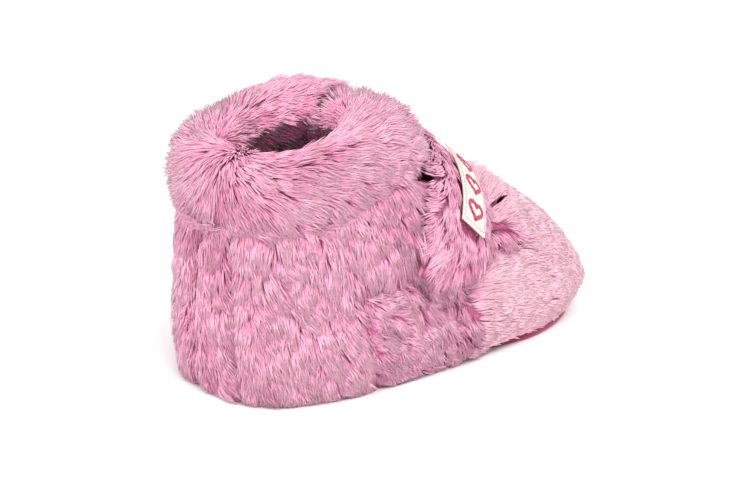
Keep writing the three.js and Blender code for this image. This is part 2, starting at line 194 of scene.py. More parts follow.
def put_sheet(
    name: str,
    surface: Surface,
    shape: tuple[int, int],
    depth: float,
    wall: float,
    keep: Callable | None = None,
    flat: tuple[float, float] | None = None,
) -> bpy.types.Object:
    """Makes a cloth of even thickness over a surface's unit square, or over the cells of it that keep picks.

    Args:
        name: the piece's name.
        surface: the surface in millimetres.
        shape: cells along u and v.
        depth: how far the cloth's outer face lies under the surface.
        wall: the cloth's thickness, inwards.
        keep: from the cells' middles (u, v) to which of them are made.
        flat: the cloth's size along u and v in millimetres, for the UV map "cloth" that its weave follows.

    Returns:
        The object, with its thickness as a Solidify modifier.
    """
    nu, nv = shape
    u, v = np.meshgrid(np.linspace(0, 1, nu + 1), np.linspace(0, 1, nv + 1), indexing="ij")
    points = surface(u.ravel(), v.ravel(), depth)
    places = np.stack([u.ravel(), v.ravel()], -1)
    index = np.arange((nu + 1) * (nv + 1)).reshape(nu + 1, nv + 1)
    faces = np.stack([index[:-1, :-1], index[1:, :-1], index[1:, 1:], index[:-1, 1:]], -1).reshape(-1, 4)
    if keep is not None:
        middle_u = (u[:-1, :-1] + u[1:, 1:]).ravel() / 2
        middle_v = (v[:-1, :-1] + v[1:, 1:]).ravel() / 2
        faces = faces[keep(middle_u, middle_v)]
        used, renumbered = np.unique(faces, return_inverse=True)
        points, places, faces = points[used], places[used], renumbered.reshape(-1, 4)
    obj = put_mesh(name, points, faces)
    if flat is not None:
        layer = obj.data.uv_layers.new(name="cloth")
        layer.data.foreach_set("uv", (places[faces.ravel()] * flat).astype(np.float32).ravel())
    thick = obj.modifiers.new("thickness", "SOLIDIFY")
    thick.thickness = wall * MM
    thick.offset = -1
    return obj


def put_rings(name: str, rings: Array, closed: bool = False) -> bpy.types.Object:
    """Makes a closed body from rings of points, each joined to the next.

    Args:
        name: the piece's name.
        rings: (rings, sides, 3) places; the first and last rings are closed by a fan to their middle.
        closed: joins the last ring to the first, and makes no ends.

    Returns:
        The object.
    """
    count, sides, _ = rings.shape
    index = np.arange(count * sides).reshape(count, sides)
    if closed:
        index = np.vstack([index, index[:1]])
    turned = np.roll(index, -1, axis=1)
    quads = np.stack([index[:-1], turned[:-1], turned[1:], index[1:]], -1).reshape(-1, 4)
    faces = np.vstack([quads[:, [0, 1, 2]], quads[:, [0, 2, 3]]])
    points = rings.reshape(-1, 3)
    if not closed:
        ends = np.stack([rings[0].mean(0), rings[-1].mean(0)])
        first, last = len(points), len(points) + 1
        points = np.vstack([points, ends])
        bottom = np.stack([turned[0], index[0], np.full(sides, first)], -1)
        top = np.stack([index[-1], turned[-1], np.full(sides, last)], -1)
        faces = np.vstack([faces, bottom, top])
    a, b, c = (points[faces[:, k]] for k in range(3))
    if (a * np.cross(b, c)).sum() < 0:
        faces = faces[:, ::-1]
    return put_mesh(name, points, faces)


# ---------------------------------------------------------------- the bootie's forms


@dataclass(frozen=True)
class Arch:
    """The strap's outer face: an arch in a plane that leans to the toe, in millimetres."""

    x: float = 13.5
    z: float = 57.5
    lean: float = 33.0
    slope: float = 42.0
    side: float = 35.4
    tall: float = 38.0
    boxy: float = 2.3
    half_top: float = 15.0
    half_end: float = 12.0
    past_level: float = 0.4  # radians past level that an end may hang

    def axes(self) -> tuple[Array, Array, Array]:
        """The arch's top, the direction across the strap, and the direction up its plane."""
        lean, slope = math.radians(self.lean), math.radians(self.slope)
        across = np.array([math.cos(slope), 0, -math.sin(slope)])
        return np.array([self.x, 0, self.z]), across, np.array([math.sin(lean), 0, math.cos(lean)])

    def place(self, point: Array) -> tuple[Array, Array]:
        """Where points lie against the strap: how far across it, and how far up from the arch's foot.

        A point less the arch's top is across * side + rise * up, solved for both in the X-Z plane.
        """
        top, side, up = self.axes()
        x, z = (point - top)[:, 0], (point - top)[:, 2]
        skew = side[0] * up[2] - side[2] * up[0]
        return (x * up[2] - z * up[0]) / skew, (z * side[0] - x * side[2]) / skew + self.tall

    def radius(self, angle: Array, depth: Array) -> Array:
        """Distance from the arch's centre to a face that lies a depth under the outer face."""
        return super_radius(angle, self.side - depth, self.tall - depth, self.boxy)

    def half(self, angle: Array) -> Array:
        """Half the strap's width at an angle: widest over the foot, narrower to both ends."""
        return mix(self.half_end, self.half_top, np.sin(angle) ** 2)

    def point(self, angle: Array, across: Array, depth: Array) -> Array:
        """A point at an angle on the arch from the inner side, and a distance across the strap."""
        top, side, up = self.axes()
        r = self.radius(angle, depth)
        point = top + across[:, None] * side + (r * np.sin(angle) - self.tall)[:, None] * up
        point[:, 1] = r * np.cos(angle)
        return point

    def near_angle(self, up: Array) -> Array:
        """The angle on the outer side of the foot where the outer face reaches a height up the plane."""
        angle = np.linspace(math.pi / 2, math.pi + self.past_level, 3000)
        return np.interp(-np.asarray(up) - self.tall, -self.radius(angle, 0) * np.sin(angle), angle)

    def level(self, up: float, across: Array) -> Array:
        """The angle along a cut that is level with the ground and reaches a height in the middle."""
        _, side, upward = self.axes()
        return self.near_angle(up - np.asarray(across) * side[2] / upward[2])

    def far_angle(self, up: float) -> float:
        """The same as near_angle on the inner side of the foot."""
        return math.pi - float(self.near_angle(up))

    def side_angle(self, y: float) -> float:
        """The angle where the outer face reaches a place to the side."""
        angle = np.linspace(0, math.pi, 4000)
        return float(np.interp(-y, -self.radius(angle, 0) * np.cos(angle), angle))


@dataclass(frozen=True)
class Foot:
    """The upper's outer face: egg-shaped level sections stacked from sole to ankle, in millimetres."""

    # Each row of knots is a height and the value there.
    toe: Knots = ((0, 60.5), (6, 63), (14, 63.2), (30, 53), (40, 40.5), (47, 26.5), (53, 8), (60, -12))
    heel: Knots = ((0, -61), (6, -63), (26, -63.5), (44, -61.6), (60, -55.6))
    half_width: Knots = ((0, 29), (8, 33), (14, 34), (26, 33), (42, 31.2), (60, 26))
    widest: Knots = ((0, 6), (30, -2), (60, -30))
    round_toe: Knots = ((0, 3.1), (16, 3.1), (44, 2.1), (60, 2.1))  # exponents of the section's front
    round_heel: float = 3.0
    toe_lift: float = 1.5  # how far the tip of the sole is lifted
    lift_from: float = 26.0  # where along the foot the lift starts
    lift_fade: float = 34.0  # height where it has died out
    wall_foot: float = 2.9
    wing_top: float = 29.5  # the columns are spaced evenly at half this height
    throat: float = 41.0
    columns: float = 20.0
    column_mm: float = 7.4  # how wide a column is
    throat_column: float = 6.0
    wing_column: float = 14.0
    heel_column: float = 19.0
    cuff_low_heel: float = 45.0
    cuff_low_front: float = 52.0
    cuff_reach: tuple[float, float] = (-63.5, -4.0)  # the cuff's two ends along the foot
    tuck: float = 5.0  # how far the wall's cloth goes up inside the cuff's pile
    tuck_fade: tuple[float, float] = (-4.0, 8.0)  # places behind the ankle's front where the tuck grows
    patches: float = 2.1  # extra depth under the strap where the closure patches lie
    patch_side: tuple[float, float] = (8.0, 20.0)  # places to the outer side where that depth grows
    beside: float = 5.5  # how far beside the strap the pile has recovered
    foot_fade: tuple[float, float] = (-10.0, -4.0)  # heights over the arch's foot where pressing starts
    arch: Arch = field(default_factory=Arch)

    def section(self, angle: Array, height: Array) -> Array:
        """A point on a level section, at an angle from the toe in radians."""
        middle = curve(self.widest, height)
        front = np.cos(angle) > 0
        reach = np.where(front, curve(self.toe, height) - middle, middle - curve(self.heel, height))
        power = np.where(front, curve(self.round_toe, height), self.round_heel)
        r = super_radius(angle, reach, curve(self.half_width, height), power)
        level = np.broadcast_to(height, r.shape)
        return np.stack([middle + r * np.cos(angle), r * np.sin(angle), level], -1)

    def angle(self, column: Array) -> Array:
        """The angle of a column. Columns are spaced evenly from the toe, which is 0, to the heel."""
        angles = np.linspace(0, math.pi, 721)
        ring = self.section(angles, np.full(len(angles), self.wing_top / 2))
        length = np.concatenate([[0], np.cumsum(np.linalg.norm(np.diff(ring, axis=0), axis=1))])
        return np.sign(column) * np.interp(np.abs(column), length / length[-1] * self.columns, angles)

    def cuff_low(self, x: Array) -> Array:
        """Height of the cuff's lower edge over a place along the foot."""
        return mix(self.cuff_low_heel, self.cuff_low_front, smooth(x, *self.cuff_reach))

    def top(self, column: Array) -> Array:
        """The wall's upper edge over a column: the throat's in front, and tucked in the cuff elsewhere."""
        angle = self.angle(column)
        height = np.full(np.shape(column), self.cuff_low_front)
        for _ in range(4):
            height = self.cuff_low(self.section(angle, height)[:, 0])
        tucked = self.tuck * smooth(-self.section(angle, height)[:, 0], *self.tuck_fade)
        return np.where(np.abs(column) < self.throat_column, self.throat, height + tucked)

    def lifted(self, point: Array) -> Array:
        """Lifts the front of the sole off the ground, less and less with height."""
        share = np.maximum(0, point[:, 0] - self.lift_from) / (self.toe[0][1] - self.lift_from)
        point[:, 2] += self.toe_lift * share**2 * (1 - smooth(point[:, 2], 0, self.lift_fade))
        return point

    def pressed(self, point: Array, under: float) -> Array:
        """Presses points under the strap to a depth under its outer face. They rise again beside it."""
        _, _, up = self.arch.axes()
        across, rise = self.arch.place(point)
        under = under + self.patches * smooth(-point[:, 1], *self.patch_side)
        angle = np.arctan2(rise, point[:, 1])
        beside = np.abs(across) - self.arch.half(angle)
        share = (1 - smooth(beside, 0.0, self.beside)) * smooth(rise, *self.foot_fade)
        sink = np.maximum(0, np.hypot(rise, point[:, 1]) - self.arch.radius(angle, under)) * share
        point = point - (sink * np.sin(angle))[:, None] * up
        point[:, 1] -= sink * np.cos(angle)
        return point

    def at(self, column: Array, height: Array, depth: Array) -> Array:
        """A point of the wall, sunk a depth along its normal, which is level at the lower edge."""
        angle, step = self.angle(column), 0.5
        turn = math.radians(step)
        along = self.section(angle + turn, height) - self.section(angle - turn, height)
        upward = self.section(angle, height + step) - self.section(angle, height - step)
        normal = unit(np.cross(along, upward))
        normal[:, 2] *= smooth(height, self.wall_foot, self.wing_top / 2)
        point = self.section(angle, height) - np.reshape(depth, (-1, 1)) * unit(normal)
        return self.lifted(point)

    def seam_distance(self, column: Array, height: Array) -> Array:
        """How far a place on the wall is from the nearest seam, in millimetres."""
        c, mm = np.abs(column), self.column_mm
        over = height - self.wing_top
        beyond = np.maximum(0, np.maximum(self.throat_column - c, c - self.wing_column)) * mm
        wing_end = np.hypot(np.abs(c - self.wing_column) * mm, np.maximum(0, over))
        wing_edge = np.hypot(np.abs(over), beyond)
        return np.minimum(np.minimum(np.abs(c - self.heel_column) * mm, wing_end), wing_edge)


@dataclass(frozen=True)
class Roll:
    """The rolled cuff: a rounded section carried round the ankle from one side of its slit to the other."""

    heel: float = -63.5
    front: float = -4.0
    middle: float = -32.0
    side: float = 29.5
    boxy: float = 2.7  # exponent of the outline behind, and the same at the front
    boxy_front: float = 3.3
    swells_from: float = -0.2  # cosine of the angle where the front's form starts
    boxed_at: float = 0.8  # and where the outline is fully the front's
    splay: float = 5.0  # how far the lower edge stands ahead of the crest, at the front
    thick_heel: float = 16.5
    thick_front: float = 23.0
    squareness: float = 2.5  # exponent of the roll's section
    slit: float = 3.5
    end_share: float = 0.035  # share of the way round over which an end draws in
    end_size: float = 0.35  # the section at an end, as a share of a full one
    top_heel: float = 67.5
    top_front: float = 77.0
    foot: Foot = field(default_factory=Foot)

    def outline(self, angle: Array, inset: Array) -> tuple[Array, Array]:
        """The cuff's plan at an inset from its outer face."""
        reach = np.where(np.cos(angle) > 0, self.front - self.middle, self.middle - self.heel) - inset
        power = mix(self.boxy, self.boxy_front, smooth(np.cos(angle), self.swells_from, self.boxed_at))
        r = super_radius(angle, reach, self.side - inset, power)
        return self.middle + r * np.cos(angle), r * np.sin(angle)

    def surface(self, u: Array, v: Array, depth: float) -> Array:
        """The roll's outer face: u from 0 to 1 round the ankle, v from 0 to 1 round the section.

        The section is a superellipse, from its lower inner side over the outer side to the top and the inner
        side, and its ends draw in to a rounded close at the slit. The roll is thicker to the front, where its
        lower edge stands ahead of its crest.
        """
        slit = math.atan2(self.slit, self.front - self.middle - self.thick_front / 2)
        angle = mix(slit, ROUND_TURN - slit, u)
        half = mix(self.thick_heel, self.thick_front, smooth(np.cos(angle), self.swells_from, 1)) / 2
        x, _ = self.outline(angle, half)
        low = self.foot.cuff_low(self.outline(angle, 0)[0])
        top = mix(self.top_heel, self.top_front, smooth(x, self.heel, self.front))
        end = np.clip(np.minimum(u, 1 - u) / self.end_share, 0, 1)
        plump = mix(self.end_size, 1, np.sqrt(1 - (1 - end) ** 2))
        turn = ROUND_TURN * (v - 0.25)
        r = super_radius(turn, 1.0, 1.0, self.squareness) * plump
        px, py = self.outline(angle, half - (half - depth) * r * np.cos(turn))
        middle, tall = (low + top) / 2, (top - low) / 2 - depth
        splay = self.splay * (0.5 - 0.5 * r * np.sin(turn)) * smooth(np.cos(angle), 0, 1)
        return np.stack([px + splay, py, middle + tall * r * np.sin(turn)], -1)


# ---------------------------------------------------------------- pile


@dataclass(frozen=True)
class Pile:
    """How a plush's pile grows. Lengths are in millimetres."""

    length: float
    per_mm2: float
    depth: float  # from the outer face down to the cloth that it grows from
    rise: float = 0.6  # how far a tuft stands off, as a share of its length
    lean: float = 0.8  # how far it lies over
    radius: float = 0.3
    lock: float = 4.0  # distance between the locks that tufts gather in
    gather: float = 0.45
    wander: float = 22.0  # degrees that a lock's lie strays
    stray: float = 9.0  # degrees that one tuft strays from its lock


def everywhere(u: Array, v: Array) -> Array:
    """Picks every place on a surface."""
    return np.ones(len(u), bool)


def steady(x: float, y: float, z: float) -> Callable[[Array, Array], Array]:
    """A lie that is the same all over: the pile falls one way."""
    return lambda points, normals: np.tile([x, y, z], (len(points), 1))


class Fur:
    """Grows a pile of tapered, bent tufts on a surface."""

    RINGS = np.array([0.0, 0.52])  # where the rings stand, as shares of the way to the tip
    WIDTHS = np.array([0.85, 1.0])
    FLATNESS = 0.55  # thickness of a tuft as a share of its width
    QUICK_SHARE = 0.35  # of the tufts, in a quick build
    DRIFT_DEGREES, DRIFT_MM = 16, 17.0  # how far the lie of a whole area strays, and how wide such areas are

    def __init__(self, surface: Surface, pile: Pile, seed: int) -> None:
        """Keeps the surface, the pile and the seed of its random numbers."""
        self.surface, self.pile, self.seed = surface, pile, seed

    def roots(self, keep: Callable) -> tuple[Array, Array]:
        """Scatters roots evenly by area: cells of the unit square drawn by area, then a place in each.

        Args:
            keep: from (u, v) to whether a tuft grows there.

        Returns:
            u and v of each root.
        """
        rng = np.random.default_rng(self.seed)
        n = 220
        middles = (np.arange(n) + 0.5) / n
        u, v = (grid.ravel() for grid in np.meshgrid(middles, middles, indexing="ij"))
        h = 0.5 / n
        along = self.surface(u + h, v, self.pile.depth) - self.surface(u - h, v, self.pile.depth)
        upward = self.surface(u, v + h, self.pile.depth) - self.surface(u, v - h, self.pile.depth)
        area = np.linalg.norm(np.cross(along, upward), axis=-1) * keep(u, v)
        count = int(area.sum() * self.pile.per_mm2 * (1))
        cell = rng.choice(n * n, count, p=area / area.sum())
        u, v = u[cell] + rng.uniform(-h, h, count), v[cell] + rng.uniform(-h, h, count)
        inside = keep(u, v)
        return u[inside], v[inside]

    def grow(
        self,
        name: str,
        keep: Callable,
        lie: Callable[[Array, Array], Array],
        shape: Callable[[Array, Array], Array] | None = None,
    ) -> bpy.types.Object:
        """Grows the tufts as one piece.

        A tuft's middle line is root + length * (normal * rise * (w - 0.45 w^2) + lie * lean * w^1.4),
        drawn to the middle of its lock by gather * w^1.5, with w from 0 at the root to 1 at the tip. Two
        flattened three-sided rings and a point follow it.

        Args:
            name: the piece's name.
            keep: from (u, v) to whether a tuft grows there.
            lie: from points and normals to the way the pile lies, in any length.
            shape: from (u, v) to a factor on the tufts' length.

        Returns:
            The piece. Its "pile" attribute holds w, a shade of the tuft's own and a shade of its lock.
        """
        pile = self.pile
        u, v = self.roots(keep)
        rng = np.random.default_rng(self.seed + 1)
        root, normal = facing(self.surface, u, v, pile.depth)
        centre, shared = locks(root, pile.lock, self.seed)
        way = lie(root, normal)
        way = unit(way - (way * normal).sum(-1, keepdims=True) * normal)
        own = rng.random((len(root), 3))
        turn = pile.wander * (2 * shared[:, 0] - 1) + pile.stray * (2 * own[:, 0] - 1)
        drift = self.DRIFT_DEGREES * noise(root, self.DRIFT_MM, self.seed + 5)
        turn = np.radians(turn + drift)[:, None]
        way = way * np.cos(turn) + np.cross(normal, way) * np.sin(turn)
        length = pile.length * (0.72 + 0.5 * own[:, 1]) * (0.85 + 0.3 * shared[:, 1])
        if shape is not None:
            length = length * shape(u, v)
        drawn = centre - root
        drawn = drawn - (drawn * normal).sum(-1, keepdims=True) * normal
        rise = pile.rise * (0.8 + 0.4 * shared[:, 2] + 0.25 * (own[:, 2] - 0.5))

        def line(w: float) -> Array:
            """The tufts' middle line at w."""
            out = normal * (rise * (w - 0.45 * w * w))[:, None] + way * pile.lean * w**1.4
            return root + length[:, None] * out + drawn * pile.gather * w**1.5

        bones = [line(w) for w in (*self.RINGS, 1.0)]
        radius = pile.radius * (0.75 + 0.5 * rng.random(len(root)))[:, None]
        rings = []
        for k, width in enumerate(self.WIDTHS):
            ahead = unit(bones[k + 1] - bones[max(k - 1, 0)])
            across = unit(np.cross(ahead, normal))
            over = np.cross(across, ahead)
            for corner in (math.pi / 2, math.pi * 7 / 6, math.pi * 11 / 6):
                away = math.cos(corner) * across + self.FLATNESS * math.sin(corner) * over
                rings.append(bones[k] + radius * width * away)
        points = np.stack([*rings, bones[-1]], 1)
        height = points[..., 2]  # tufts that reach the ground are bent to stay over it
        points[..., 2] = np.where(height < 1, np.exp(height - 1), height)
        sides = [(a, b, b + 3, a + 3) for a, b in ((0, 1), (1, 2), (2, 0))]
        faces = [(a, b, c) for a, b, c, _ in sides] + [(a, c, d) for a, _, c, d in sides]
        faces = np.array([*faces, (3, 4, 6), (4, 5, 6), (5, 3, 6), (0, 2, 1)])
        faces = faces[None] + (7 * np.arange(len(root)))[:, None, None]
        w = np.array([*np.repeat(self.RINGS, 3), 1.0])
        shades = (w, own[:, 2:3], shared[:, 2:3])
        attribute = np.stack([np.broadcast_to(shade, (len(root), 7)) for shade in shades], -1)
        piece = put_mesh(name, points.reshape(-1, 3), faces.reshape(-1, 3), attribute.reshape(-1, 3))
        LOG.info("%s: %d tufts, %d triangles", name, len(root), faces.size // 3)
        return piece


# ---------------------------------------------------------------- finishes


def linear(sheet_colour: str) -> tuple[float, float, float, float]:
    """An sRGB hex colour as linear RGBA."""
    channels = [int(sheet_colour[i : i + 2], 16) / 255 for i in (0, 2, 4)]
    return (*[c / 12.92 if c <= 0.04045 else ((c + 0.055) / 1.055) ** 2.4 for c in channels], 1.0)


WAVES_PER_UNIT = 0.314  # a wave texture of this scale repeats once a unit


class Finish:
    """A material's node tree, started from a Principled shader."""

    def __init__(self, name: str, roughness: float, ior: float = 1.46, **fixed: float) -> None:
        """Starts the material. Fixed values go on the shader's sockets, named with underscores."""
        self.material = bpy.data.materials.new(name)
        self.material.use_nodes = True
        self.tree = self.material.node_tree
        self.shader = self.tree.nodes["Principled BSDF"]
        self.shader.inputs["Roughness"].default_value = roughness
        self.shader.inputs["IOR"].default_value = ior
        for socket, value in fixed.items():
            self.shader.inputs[socket.replace("_", " ")].default_value = value

    def add(self, kind: str, settings: dict | None = None, **links: object) -> bpy.types.Node:
        """Adds a node.

        Args:
            kind: the node's type, without "ShaderNode".
            settings: values of the node's own properties.
            links: for an input, named with underscores or by i and its number, a value or an output to link.

        Returns:
            The node.
        """
        node = self.tree.nodes.new("ShaderNode" + kind)
        for key, value in (settings or {}).items():
            setattr(node, key, value)
        for key, value in links.items():
            numbered = key[0] == "i" and key[1:].isdigit()
            socket = node.inputs[int(key[1:]) if numbered else key.replace("_", " ")]
            if isinstance(value, bpy.types.NodeSocket):
                self.tree.links.new(value, socket)
            else:
                socket.default_value = value
        return node

    def ramp(self, factor: bpy.types.NodeSocket, *stops: tuple[float, str]) -> bpy.types.NodeSocket:
        """A colour ramp through (place, hex colour) stops."""
        node = self.add("ValToRGB", Fac=factor)
        elements = node.color_ramp.elements
        while len(elements) < len(stops):
            elements.new(0.5)
        for element, (place, colour) in zip(elements, stops):
            element.position, element.color = place, linear(colour)
        return node.outputs["Color"]

    def blend(self, share: object, a: object, b: object, mode: str = "MIX") -> bpy.types.NodeSocket:
        """Mixes two colours, by a share that is a number or an output."""
        return self.add("Mix", {"data_type": "RGBA", "blend_type": mode}, i0=share, i6=a, i7=b).outputs[2]

    def colour(self, output: bpy.types.NodeSocket) -> None:
        """Links the shader's colour."""
        self.tree.links.new(output, self.shader.inputs["Base Color"])

    def bump(self, height: bpy.types.NodeSocket, millimetres: float, strength: float = 1.0) -> None:
        """Raises the surface by a height of so many millimetres."""
        node = self.add("Bump", Height=height, Distance=millimetres * MM, Strength=strength)
        self.tree.links.new(node.outputs["Normal"], self.shader.inputs["Normal"])


@dataclass(frozen=True)
class PlushPile:
    """Polyester plush: extruded fibre tufts, dyed in the mass. Matt, with painted highlight on the tips and
    painted shade on the roots.
    """

    name: str
    root: str
    middle: str
    tip: str
    painted_nap_shade: str = "c98bab"  # painted shade of the patches where the pile lies the other way
    patches: float = 0.35
    patch_mm: float = 16.0

    def material(self) -> bpy.types.Material:
        """Colour runs along each tuft from painted shade at the root to painted highlight at the tip, and
        shifts from tuft to tuft and lock to lock.
        """
        made = Finish(self.name, 0.72, 1.5, Sheen_Weight=0.25, Sheen_Roughness=0.5, Specular_IOR_Level=0.3)
        pile = made.add("Attribute", {"attribute_name": "pile"})
        parts = made.add("SeparateXYZ", Vector=pile.outputs["Vector"])
        along, own, lock = (parts.outputs[k] for k in range(3))
        shift = made.add("Math", {"operation": "MULTIPLY_ADD"}, i0=own, i1=0.28, i2=-0.14)
        lock_shift = made.add("Math", {"operation": "MULTIPLY_ADD"}, i0=lock, i1=0.26, i2=-0.13)
        both = made.add("Math", {"operation": "ADD"}, i0=shift.outputs[0], i1=lock_shift.outputs[0])
        place = made.add("Math", {"operation": "ADD", "use_clamp": True}, i0=along, i1=both.outputs[0])
        # painted shade at the roots, painted highlight at the tips
        body = made.ramp(place.outputs[0], (0.0, self.root), (0.45, self.middle), (0.95, self.tip))
        where = made.add("TexCoord").outputs["Object"]
        scale = 1 / (self.patch_mm * MM)
        # painted shade over patches where the pile lies the other way
        patches = made.add("TexNoise", Vector=where, Scale=scale, Detail=2.0, Roughness=0.5)
        share = made.add("MapRange", Value=patches.outputs[0], i1=0.48, i2=0.68, i3=0.0, i4=self.patches)
        made.colour(made.blend(share.outputs[0], body, linear(self.painted_nap_shade), "MULTIPLY"))
        return made.material


@dataclass(frozen=True)
class KnitBacking:
    """The plush's knitted ground: loops about 1 mm apart, dyed with the pile. Matt, darkened between tufts
    and between its loops by painted shade.
    """

    name: str
    thread: str
    painted_gap_shade: str

    def material(self) -> bpy.types.Material:
        """Small rounded cells in two tones, the darker one painted shade in the gaps, raised a little."""
        made = Finish(self.name, 0.9, 1.5, Specular_IOR_Level=0.2)
        where = made.add("TexCoord").outputs["Object"]
        loops = made.add("TexVoronoi", Vector=where, Scale=1 / MM, Randomness=0.6).outputs["Distance"]
        # painted shade in the gaps between loops
        made.colour(made.ramp(loops, (0.1, self.thread), (0.8, self.painted_gap_shade)))
        made.bump(loops, 0.3, 0.6)
        return made.material


@dataclass(frozen=True)
class Suede:
    """Split suede for the outsole: buffed leather with a short nap, matt, mottled where the nap turns."""

    name: str
    nap: str
    worn: str

    def material(self) -> bpy.types.Material:
        """Mottled nap in patches of about 6 mm, and a grain of 0.4 mm, drawn coarse enough to show."""
        made = Finish(self.name, 0.88, 1.5, Sheen_Weight=0.35, Sheen_Roughness=0.4, Specular_IOR_Level=0.25)
        where = made.add("TexCoord").outputs["Object"]
        nap = made.add("TexNoise", Vector=where, Scale=1 / (6 * MM), Detail=4.0, Roughness=0.65).outputs[0]
        grain = made.add("TexNoise", Vector=where, Scale=1 / (0.4 * MM), Detail=2.0).outputs[0]
        tone = made.blend(0.35, nap, grain)
        made.colour(made.ramp(tone, (0.3, self.nap), (0.75, self.worn)))
        made.bump(grain, 0.15, 0.5)
        return made.material


@dataclass(frozen=True)
class WovenCloth:
    """Plain woven cloth: threads over and under each other, seen as fine ribs both ways. Matt to satin."""

    name: str
    thread: str
    shade: str
    spacing_mm: float = 0.7  # real label thread is about 0.2 mm, drawn coarser so that it shows
    roughness: float = 0.75

    def material(self) -> bpy.types.Material:
        """Two crossed sets of waves on the piece's own UV map, in millimetres of cloth."""
        sheen = {"Sheen_Weight": 0.15, "Sheen_Roughness": 0.5}
        made = Finish(self.name, self.roughness, 1.5, Specular_IOR_Level=0.3, **sheen)
        where = made.add("UVMap", {"uv_map": "cloth"}).outputs["UV"]
        scale = WAVES_PER_UNIT / self.spacing_mm
        waves = [
            made.add("TexWave", {"bands_direction": way}, Vector=where, Scale=scale).outputs[1]
            for way in ("X", "Y")
        ]
        weave = made.add("Math", {"operation": "MULTIPLY"}, i0=waves[0], i1=waves[1]).outputs[0]
        where_noise = made.add("TexNoise", Vector=where, Scale=0.5, Detail=3.0).outputs[0]
        tone = made.blend(0.3, weave, where_noise)
        made.colour(made.ramp(tone, (0.05, self.shade), (0.55, self.thread)))
        made.bump(weave, 0.12, 0.6)
        return made.material


@dataclass(frozen=True)
class ClosureTape:
    """Nylon hook or loop tape: a dense field of tiny stiff loops about 1 mm apart, with a slight gloss."""

    name: str
    tip: str
    base: str

    def material(self) -> bpy.types.Material:
        """Rounded cells, pale at their middles with painted highlight, darker at their edges with painted
        shade, raised.
        """
        made = Finish(self.name, 0.5, 1.53, Specular_IOR_Level=0.4)
        where = made.add("TexCoord").outputs["Object"]
        cells = made.add("TexVoronoi", Vector=where, Scale=1 / (1.1 * MM), Randomness=0.35)
        cells = cells.outputs["Distance"]
        # painted highlight at the cells' middles, painted shade at their edges
        made.colour(made.ramp(cells, (0.1, self.tip), (0.7, self.base)))
        made.bump(cells, 0.4, 0.9)
        return made.material


@dataclass(frozen=True)
class Thread:
    """Twisted polyester sewing or embroidery thread: a soft gloss, ribbed by its twist every 0.8 mm."""

    name: str
    lit: str
    shade: str

    def material(self) -> bpy.types.Material:
        """Slanted bands for the twist."""
        made = Finish(self.name, 0.45, 1.53, Specular_IOR_Level=0.45)
        where = made.add("TexCoord").outputs["Object"]
        scale = WAVES_PER_UNIT / (0.8 * MM)
        bands = made.add("TexWave", {"bands_direction": "DIAGONAL"}, Vector=where, Scale=scale).outputs[1]
        made.colour(made.ramp(bands, (0.1, self.shade), (0.6, self.lit)))
        made.bump(bands, 0.08, 0.6)
        return made.material


@dataclass(frozen=True)
class Foam:
    """Cut polyurethane foam: open cells about 1 mm across, matt and off-white."""

    name: str

    def material(self) -> bpy.types.Material:
        """Small pits, darkened with painted shade, in a pale ground."""
        made = Finish(self.name, 0.9, 1.5)
        where = made.add("TexCoord").outputs["Object"]
        cells = made.add("TexVoronoi", Vector=where, Scale=1 / (1.2 * MM)).outputs["Distance"]
        # painted shade in the pits
        made.colour(made.ramp(cells, (0.0, "cfc7ba"), (0.5, "f3efe8")))
        made.bump(cells, 0.3, 0.5)
        return made.material


PINK = PlushPile("pink polyester plush pile", "a9487a", "dd8bad", "f7bdd3", painted_nap_shade="cf93b6")
PALE_PINK = PlushPile("pale pink short plush pile", "c07a9a", "e6a8bf", "f8cbd9", painted_nap_shade="d5a3bb", patches=0.25)
LILAC = PlushPile("lilac pink plush pile", "9c4d76", "cf84a5", "efb4ca", "c48fb0", patches=0.5, patch_mm=11.0)
# painted shade: the cuff's inner face, darkened as the ankle opening lies in shadow
SHADED_CUFF_PILE = PlushPile("deep pink plush pile", "320817", "611a38", "924468", "84405e", patches=0.4)
# pink lining pile darkened with painted shade of the shoe's inside
SHADED_LINING_PILE = PlushPile("pink lining pile in painted shade", "3a0a1a", "7c2442", "a84a6e", patches=0.2)
GROUND = KnitBacking("pink knitted ground", "c76c90", "a34d73")
# pink knitted ground darkened with painted shade of the shoe's inside
SHADED_GROUND = KnitBacking("pink knitted ground in painted shade", "571026", "2c0612")
SOLE_SUEDE = Suede("raspberry split suede", "7a1f3d", "a33a5e")
LABEL_CLOTH = WovenCloth("cream woven label taffeta", "efe6d6", "cfc2ac")
BACKING_CLOTH = WovenCloth("pink plain-woven cotton", "d98fab", "b96a8b", 0.8, 0.85)
TAPE = ClosureTape("pink nylon hook and loop tape", "e7a9c1", "b4678a")
RASPBERRY_THREAD = Thread("raspberry embroidery thread", "c22a5c", "8c1840")
PINK_THREAD = Thread("pink sewing thread", "e9a3bf", "b9668a")
SOLE_FOAM = Foam("open-cell polyurethane foam")


class Wardrobe:
    """Makes each finish once, and dresses pieces in it."""

    def __init__(self) -> None:
        """Starts with nothing made."""
        self.made: dict[str, bpy.types.Material] = {}

    def material(self, finish: object) -> bpy.types.Material:
        """A finish's material, made when it is first asked for."""
        if finish.name not in self.made:
            self.made[finish.name] = finish.material()
        return self.made[finish.name]

    def dress(self, piece: bpy.types.Object, finish: object, slot: str) -> bpy.types.Object:
        """Gives a piece its finish."""
        piece.data.materials.clear()
        piece.data.materials.append(self.material(finish))
        return piece

    def redress(self, node: str, finish: object) -> None:
        """Gives a CAD node that stays in sight its finish, on the object's own material slots."""
        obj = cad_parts[node]
        if not obj.material_slots:
            obj.data.materials.append(None)
        for slot in obj.material_slots:
            slot.link = "OBJECT"
            slot.material = self.material(finish)


# ---------------------------------------------------------------- the upper


class Side(Enum):
    """The two sides of a right foot: the outer one, where the strap fastens, and the inner one."""

    OUTER = -1
    INNER = 1


